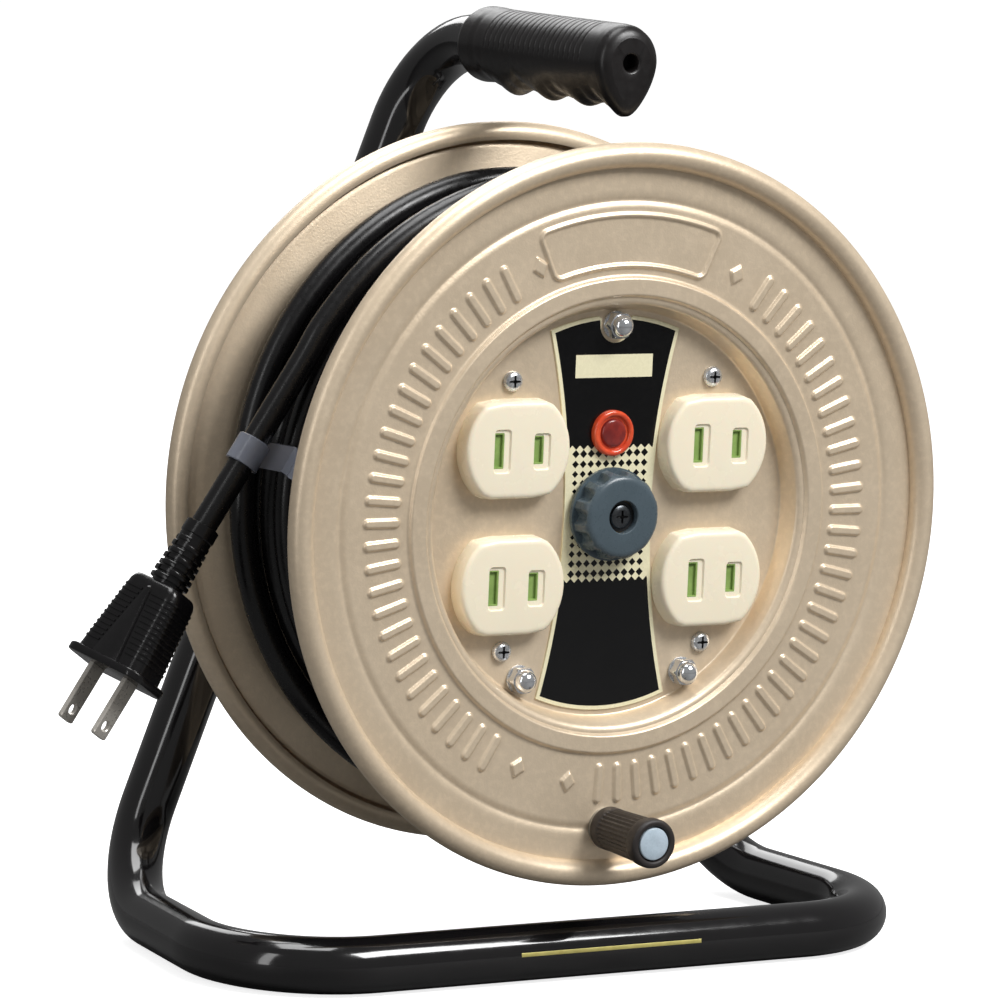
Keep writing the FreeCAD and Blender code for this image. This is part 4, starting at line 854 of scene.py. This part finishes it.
def plug_parts():
    """A wedge-shaped body with cross ridges on its edges, a raised facet and a thin wide flange."""
    body = [(84.0, 15.6, 10.4, 3.0), (84.3, 16.6, 11.4, 3.2), (85.0, 17.6, 12.2, 3.4),
            (86.2, 18.7, 12.7, 3.6)]
    body += [(86.2 + 23.5 * k / 8, 18.7 + 4.9 * k / 8, 12.7 + 2.0 * k / 8, 3.6) for k in range(1, 9)]
    parts = [skin([rounded_ring(*row) for row in body])]
    flange = [(109.5, 26.3, 16.8, 4.2), (109.75, 27.2, 17.7, 4.5), (110.1, 27.5, 18.0, 4.5),
              (111.6, 27.5, 18.0, 4.5), (111.9, 27.2, 17.7, 4.5), (112.0, 26.7, 17.2, 4.4)]
    parts.append(skin([rounded_ring(*row) for row in flange]))
    for side in (1, -1):
        for edge in (1, -1):
            for k in range(12):
                t = 88.2 + 1.62 * k
                half = (18.7 + 4.9 * (t - 86.2) / 23.5) / 2
                deep = (12.7 + 2.0 * (t - 86.2) / 23.5) / 2
                inner = 1.6 + 3.4 * (k + 1) / 12
                rings = []
                for dt, lift in ((-0.55, -0.5), (-0.28, 0.28), (0.28, 0.28), (0.55, -0.5)):
                    ring = []
                    c = 3.6
                    for j in range(9):
                        turn = math.radians(90 * j / 8)
                        out_u, out_v = (c + lift) * math.sin(turn), (c + lift) * math.cos(turn)
                        ring.append((half - c + out_u, deep - c + out_v))
                    ring.insert(0, (inner, deep + lift))
                    ring.append((half + lift - 0.2, 0.0))
                    ring.append((half - 2.0, 0.0))
                    ring.append((inner, deep - 2.0))
                    rings.append([along(t + dt, edge * u, side * v) for u, v in ring])
                parts.append(skin(rings))
        facet = []
        for t, wide, lift in ((86.4, 0.8, 0.05), (87.0, 1.6, 0.55), (90.0, 2.4, 0.65), (108.6, 8.6, 0.8),
                              (109.6, 9.0, 0.8)):
            deep = (12.7 + 2.0 * (t - 86.2) / 23.5) / 2
            a, top = wide / 2, deep + lift
            corners = ((-a - 0.5, deep - 0.4), (-a, top - 0.1), (-a + 0.2, top), (a - 0.2, top),
                       (a, top - 0.1), (a + 0.5, deep - 0.4))
            facet.append([along(t, u, side * v) for u, v in corners])
        parts.append(skin(facet))
    return parts


def edge_in(outline, angle, x_mid=0.0):
    """Where a line from (x_mid, 0) at that angle meets the outline, measured from there."""
    dx, dv = math.cos(angle), math.sin(angle)
    best = 1e9
    for (x0, v0), (x1, v1) in zip(outline, outline[1:] + outline[:1]):
        ex, ev = x1 - x0, v1 - v0
        det = ex * dv - dx * ev
        if abs(det) < 1e-9:
            continue
        reach = (ex * v0 - (x0 - x_mid) * ev) / det
        share = (dx * v0 - dv * (x0 - x_mid)) / det
        if reach > 0 and -1e-6 <= share <= 1 + 1e-6:
            best = min(best, reach)
    return best


def blade_parts():
    """Two flat blades with rounded tips, bevelled edges and a hole near the tip."""
    half, thick, corner, bevel = 3.175, 0.75, 1.1, 0.24
    base, tip = PLUG_FRONT - 5.9, PLUG_FRONT + 17.5
    hole_t = tip - 3.6
    outline = [(base, -half)]
    for start, v_mid in ((-90, corner - half), (0, half - corner)):
        turns = [math.radians(start + 30 * k) for k in range(4)]
        outline += [(tip - corner + corner * math.cos(a), v_mid + corner * math.sin(a)) for a in turns]
    outline.append((base, half))
    angles = [2 * math.pi * k / 48 for k in range(48)]
    angles += [math.atan2(v, x - hole_t) % (2 * math.pi) for x, v in outline]
    angles = sorted(set(round(a, 6) for a in angles))
    way = [(math.cos(a), math.sin(a)) for a in angles]
    reach = [edge_in(outline, a, hole_t) for a in angles]
    edge = [(hole_t + c * r, s * r) for (c, s), r in zip(way, reach)]
    inset = [(min(x, tip - bevel), max(bevel - half, min(half - bevel, v))) for x, v in edge]
    hole = [(hole_t + 1.5 * c, 1.5 * s) for c, s in way]
    wide_hole = [(hole_t + 1.7 * c, 1.7 * s) for c, s in way]
    section = ((hole, 0.2 - thick), (wide_hole, -thick), (inset, -thick), (edge, bevel - thick),
               (edge, thick - bevel), (inset, thick), (wide_hole, thick), (hole, thick - 0.2))
    parts = []
    for side in (1, -1):
        rings = [[along(t, side * 6.35 + u, v) for t, v in ring] for ring, u in section]
        parts.append(skin(rings, closed=True))
    return parts


relief = piece("strain_relief_blocks", relief_parts(), "stand", PLUG, ["strain_relief"])
plug = piece("plug_moulded", plug_parts(), "stand", PLUG, ["plug_body"], sharp=30)
blades = piece("plug_blade_pair", blade_parts(), "stand", NICKEL, ["plug_blades"])

BAND_AT, BAND_WIDE = 40.0, 8.0
eye_mid = along(BAND_AT)
band_out = Vector((eye_mid.x, 0, eye_mid.z - AXLE))
eye_reach = band_out.length
band_out.normalize()
strap_low = WIND_R + CORD / 2 + 0.55


def band_parts():
    """An eye round the cord and a stepped strap towards the front rim."""
    half = BAND_WIDE / 2
    inner, outer = CORD / 2 + 0.06, CORD / 2 + 1.1
    rings = []
    turns = [2 * math.pi * k / 48 for k in range(48)]
    for r, t in ((inner, -half + 0.15), (inner + 0.2, -half), (outer - 0.25, -half), (outer, -half + 0.25),
                 (outer, half - 0.25), (outer - 0.25, half), (inner + 0.2, half), (inner, half - 0.15)):
        rings.append([along(BAND_AT + t, r * math.cos(a), r * math.sin(a)) for a in turns])
    parts = [skin(rings, closed=True)]

    def strap(advance, reach, shift):
        slant = 5.6 * max(0.0, advance - 2.0) / 34.0
        return Vector((0, TAIL_Y - advance, AXLE)) + band_out * reach + tail_way * (shift + slant)

    end = TAIL_Y - FRONT - 4.0
    top, step = strap_low + 1.0, strap_low + 1.55
    upper = [(0.7, eye_reach - 4.2), (3.2, top), (8.0, top), (9.0, step), (15.0, step), (16.0, top),
             (end - 0.6, top), (end, strap_low + 0.8)]
    lower = [(end, strap_low + 0.1), (end - 0.4, strap_low), (2.2, strap_low), (-0.5, eye_reach - 4.2)]
    rings = []
    for shift, ease in ((-half, 0.25), (-half + 0.25, 0.0), (half - 0.25, 0.0), (half, 0.25)):
        ring = []
        for advance, reach in upper:
            ring.append(strap(advance, reach - ease, shift))
        for advance, reach in lower:
            ring.append(strap(advance, reach + (ease if advance > 1 else 0) * 0.5, shift))
        rings.append(ring)
    parts.append(skin(rings))
    return parts


band = piece("cord_band_strap", band_parts(), "stand", CLEAR, ["cord_band"])
tail_line = bare_curve_points(tail)

# Brake knob and the screw in the axle's end
KNOB_FACE = PANEL - 1.6 - 7.7
FLUTES = 12


def knob_parts():
    def flute(a, y, r):
        if r < 8:
            return 0.0
        t = (a * FLUTES / (2 * math.pi)) % 1.0
        away = min(t, 1 - t) * 2 * math.pi / FLUTES * r
        depth = 1.6 * max(0.0, 1 - (away / 2.2) ** 2) if r > 10 else 0.0
        return -depth * smooth((y - KNOB_FACE - 0.5) / 2.2) if y < PANEL - 3.0 else 0.0

    face = [(4.6, 2.6), (4.6, 0.25), (4.85, 0.0), (9.8, 0.0), (10.5, 0.1), (11.1, 0.38), (11.6, 0.8),
            (12.0, 1.4), (12.3, 2.2), (12.5, 3.2)]
    foot = [(12.7, 3.05), (13.2, 2.95), (13.2, 1.75), (13.0, 1.6), (10.9, 1.6), (10.9, 3.6), (7.0, 3.6)]
    side = [(r, KNOB_FACE + deep) for r, deep in face] + [(r, PANEL - high) for r, high in foot]
    return [turned(side, steps=240, caps=False, wave=flute)]


piece("brake_knob_body_skin", knob_parts(), "brake_knob_body", KNOB, ["brake_knob"], sharp=44)
carried("knob_insert", BRASS)
carried("knob_stop_washer", BLACK)
carried("pressure_washer", STEEL)


def pan_head(x, z, back, r, dome, cross, deep):
    """A domed screw head with a tapering cross cut in; the walls of the cross are a part of their own, for a
    dark colour of painted shade.
    """
    side = [(0.86, 0.0), (1.0, 0.1), (1.0, 0.35), (0.93, 0.66), (0.78, 0.86), (0.6, 0.97)]
    head = turned([(r * a, back - dome * b) for a, b in side], x, z, 64, caps=False)
    half = cross * 0.17
    outline = []
    for c, s in ((1, 0), (0, 1), (-1, 0), (0, -1)):
        for u, v in ((cross, -half), (cross, half), (half * 1.7, half * 1.1), (half * 1.1, half * 1.7)):
            outline.append((u * c - v * s, u * s + v * c))
    turns = [2 * math.pi * k / 64 for k in range(64)]
    reach = [edge_in(outline, a) for a in turns]
    top = back - dome
    rings = []
    for y, share, centre in ((back - dome * 0.97, 0.0, r * 0.6), (top, 1.0, 0.0),
                             (top + deep, 0.75, 0.0), (top + deep * 1.15, 0.0, 0.05)):
        sizes = [share * far + centre for far in reach]
        rings.append([(x + far * math.cos(a), y, z + far * math.sin(a)) for far, a in zip(sizes, turns)])
    return [head, skin(rings[:2], caps=False), skin(rings[1:], caps=False)]


# The cross recess of this screw takes the dark colour of painted shade.
piece("knob_screw_skin", pan_head(0, AXLE, PANEL - 7.2, 3.4, 1.3, 1.9, 0.9), "stand",
      [DARK_ZINC, DARK_ZINC, RECESS_SHADE], ["knob_screw"], sharp=30)

screw_parts = []
for sx, sz in QUARTERS.values():
    screw_parts += pan_head(sx * 32.7, AXLE + sz * 38.0, PANEL, 2.9, 1.95, 1.75, 0.9)
# The cross recesses of these screws take the dark colour of painted shade.
piece("outlet_screw_heads", screw_parts, "drum", [ZINC, ZINC, RECESS_SHADE] * 4, ["outlet_screws"],
      sharp=30)


def lamp_parts():
    face = PANEL - 2.5
    z = AXLE + 22.8
    profile = [(6.5, PANEL - 0.5)] + [(r, face + deep) for r, deep in (
        (6.5, 0.75), (6.35, 0.3), (6.0, 0.03), (5.5, 0.0), (5.1, 0.15), (4.85, 0.55), (4.8, 0.95),
        (4.15, 0.95), (3.95, 0.7), (3.8, 0.3), (3.5, 0.08), (3.0, 0.0), (1.5, 0.0))]
    return [turned(profile[:9], 0, z, 72, caps=False), turned(profile[8:], 0, z, 72)]


piece("pilot_lamp_lens_skin", lamp_parts(), "drum", [LENS, LENS_MIDDLE], ["pilot_lamp_lens"],
      sharp=50)

# Acorn nuts and washers
nut_parts = []
washer_parts = []
for angle in (90, -60, -120):
    x, z = spot(53.2, angle)
    hexagon = []
    for y, r in ((PANEL - 0.8, 3.75), (PANEL - 1.0, 4.05), (PANEL - 3.4, 4.05), (PANEL - 3.8, 3.7)):
        ring = []
        for k in range(6):
            a0, a1 = math.radians(60 * k), math.radians(60 * (k + 1))
            for j in range(6):
                t = j / 6
                px = math.cos(a0) * (1 - t) + math.cos(a1) * t
                pz = math.sin(a0) * (1 - t) + math.sin(a1) * t
                if r < 4:
                    n = math.hypot(px, pz)
                    round_r = min(r, 4.05 * n)
                    px, pz = px / n * round_r, pz / n * round_r
                    ring.append((x + px, y, z + pz))
                else:
                    ring.append((x + r * px, y, z + r * pz))
        hexagon.append(ring)
    nut_parts.append(skin(hexagon))
    turns = [math.radians(5 * k) for k in range(18)]
    dome = [(3.3 * math.cos(t), PANEL - 3.7 - 3.3 * math.sin(t)) for t in turns]
    nut_parts.append(turned([(3.3, PANEL - 3.5)] + dome + [(0.05, PANEL - 7.0)], x, z, 48))
    washer = [(2.2, 0.02), (3.9, 0.02), (4.0, 0.1), (4.0, 0.33), (3.85, 0.4), (4.0, 0.47), (4.0, 0.68),
              (3.88, 0.8), (2.2, 0.8)]
    washer_parts.append(turned([(r, PANEL - high) for r, high in washer], x, z, 48, closed=True))
piece("domed_nut_skin", nut_parts, "drum", CHROME, ["domed_nuts"], sharp=34)
piece("front_washer_skin", washer_parts, "drum", ZINC, ["front_washers"], sharp=34)

# Winding crank
CRANK_Z = AXLE - 88.5


def crank_parts():
    def ribs(a, y, r):
        if -76.5 < y < -60.2 and r > 5.5:
            t = (a * 30 / (2 * math.pi)) % 1.0
            return -0.42 * (1 - abs(2 * t - 1)) ** 0.8
        return 0.0

    profile = [
        (4.98, -79.4), (4.98, -80.9), (5.15, -81.25), (5.5, -81.5), (6.15, -81.5), (6.6, -81.3), (6.9, -80.9),
        (7.0, -80.3), (7.0, -78.0), (6.9, -77.5), (6.62, -77.2), (6.55, -76.6), (6.5, -76.0), (6.3, -68.0),
        (6.1, -61.0), (6.0, -60.3), (6.05, -59.8), (6.15, -59.4), (6.15, -56.6), (5.9, -56.25), (3.1, -56.25),
    ]
    return [turned(profile, 0, CRANK_Z, 240, caps=False, wave=ribs)]


piece("crank_sleeve_skin", crank_parts(), "crank", CRANK, ["crank_sleeve"], sharp=40)
cap_profile = [(4.6, -80.5), (4.6, -81.0), (4.5, -81.25), (4.25, -81.38), (2.0, -81.4), (0.3, -81.4)]
piece("crank_cap_skin", [turned(cap_profile, 0, CRANK_Z, 72)], "crank", CAP, ["crank_cap"],
      sharp=50)

# Pieces that show as they are packed
PACKED = (
    (STEEL, "axle_shaft axle_spacer drum_barrel hub_sleeve crank_pin"),
    (ZINC, "axle_rear_washer axle_rear_nut tie_bolts rear_washers"),
    (NYLON, "thrust_washer hub_bush_front hub_bush_rear terminal_block drum_wires"),
    (BLACK, "cord_gland pilot_lamp_holder thermal_protector"),
    (BRASS, "terminal_screws"),
    (SHEATH, "inner_lead"),
)
for look, names in PACKED:
    for node in names.split():
        carried(node, look)

piece("base_stripe", [stripe_part()], "stand", GOLD)

# Stage, lights and world

def studio():
    mesh = bpy.data.meshes.new("floor")
    s = 6.0
    corners = [(-s, -s, -0.0003), (s, -s, -0.0003), (s, s, -0.0003), (-s, s, -0.0003)]
    mesh.from_pydata(corners, [], [(0, 1, 2, 3)])
    floor = bpy.data.objects.new("floor", mesh)
    bpy.context.scene.collection.objects.link(floor)
    g = Graph("floor_white")
    g.set(Roughness=g.ramp(g.noise(30, 3), 0.3, 0.7, 0.55, 0.65), Normal=g.bump(g.noise(400, 2), 1.0, 0.02))
    path = g.add("ShaderNodeLightPath")
    white = g.mix(g.noise(3, 3), (0.80, 0.80, 0.80, 1), (0.78, 0.78, 0.78, 1))
    bounced = g.math("MAXIMUM", path.outputs["Is Glossy Ray"], path.outputs["Is Diffuse Ray"])
    g.set(Base_Color=g.mix(bounced, white, (0.1, 0.1, 0.1, 1)))
    seen = g.math("MAXIMUM", path.outputs["Is Camera Ray"], path.outputs["Is Transmission Ray"])
    g.set(Emission_Color=(1, 1, 1, 1), Emission_Strength=g.math("MULTIPLY", seen, 0.8))
    mesh.materials.append(g.material)

    world = bpy.data.worlds.new("world")
    world.use_nodes = True
    bpy.context.scene.world = world
    tree = world.node_tree
    back = tree.nodes["Background"]
    path = tree.nodes.new("ShaderNodeLightPath")
    direct = tree.nodes.new("ShaderNodeMath")
    direct.operation = "MAXIMUM"
    tree.links.new(path.outputs["Is Camera Ray"], direct.inputs[0])
    tree.links.new(path.outputs["Is Transmission Ray"], direct.inputs[1])
    open_sky = tree.nodes.new("ShaderNodeMapRange")
    open_sky.inputs[3].default_value = 0.36
    open_sky.inputs[4].default_value = 1.0
    tree.links.new(direct.outputs[0], open_sky.inputs[0])
    mirrored = tree.nodes.new("ShaderNodeMath")
    mirrored.operation = "MULTIPLY_ADD"
    mirrored.inputs[1].default_value = -0.16
    tree.links.new(path.outputs["Is Glossy Ray"], mirrored.inputs[0])
    tree.links.new(open_sky.outputs[0], mirrored.inputs[2])
    tree.links.new(mirrored.outputs[0], back.inputs["Strength"])
    back.inputs["Color"].default_value = (1, 1, 1, 1)

    for name, place, size, power in (
        ("key", (0.45, -0.95, 1.15), (0.7, 0.5), 20.0),
        ("strip", (-1.0, -0.45, 0.45), (0.16, 0.9), 1.6),
        ("top", (-0.1, 0.05, 1.35), (0.9, 0.6), 10.0),
        ("rear", (0.3, 1.0, 0.9), (0.8, 0.6), 5.0),
    ):
        data = bpy.data.lights.new(name, "AREA")
        data.shape = "RECTANGLE"
        data.size, data.size_y = size
        data.energy = power
        lamp = bpy.data.objects.new(name, data)
        lamp.location = place
        aim = Vector((0, -0.02, 0.13)) - Vector(place)
        lamp.rotation_euler = aim.to_track_quat("-Z", "Y").to_euler()
        bpy.context.scene.collection.objects.link(lamp)


studio()
bpy.context.scene.view_settings.view_transform = "Standard"
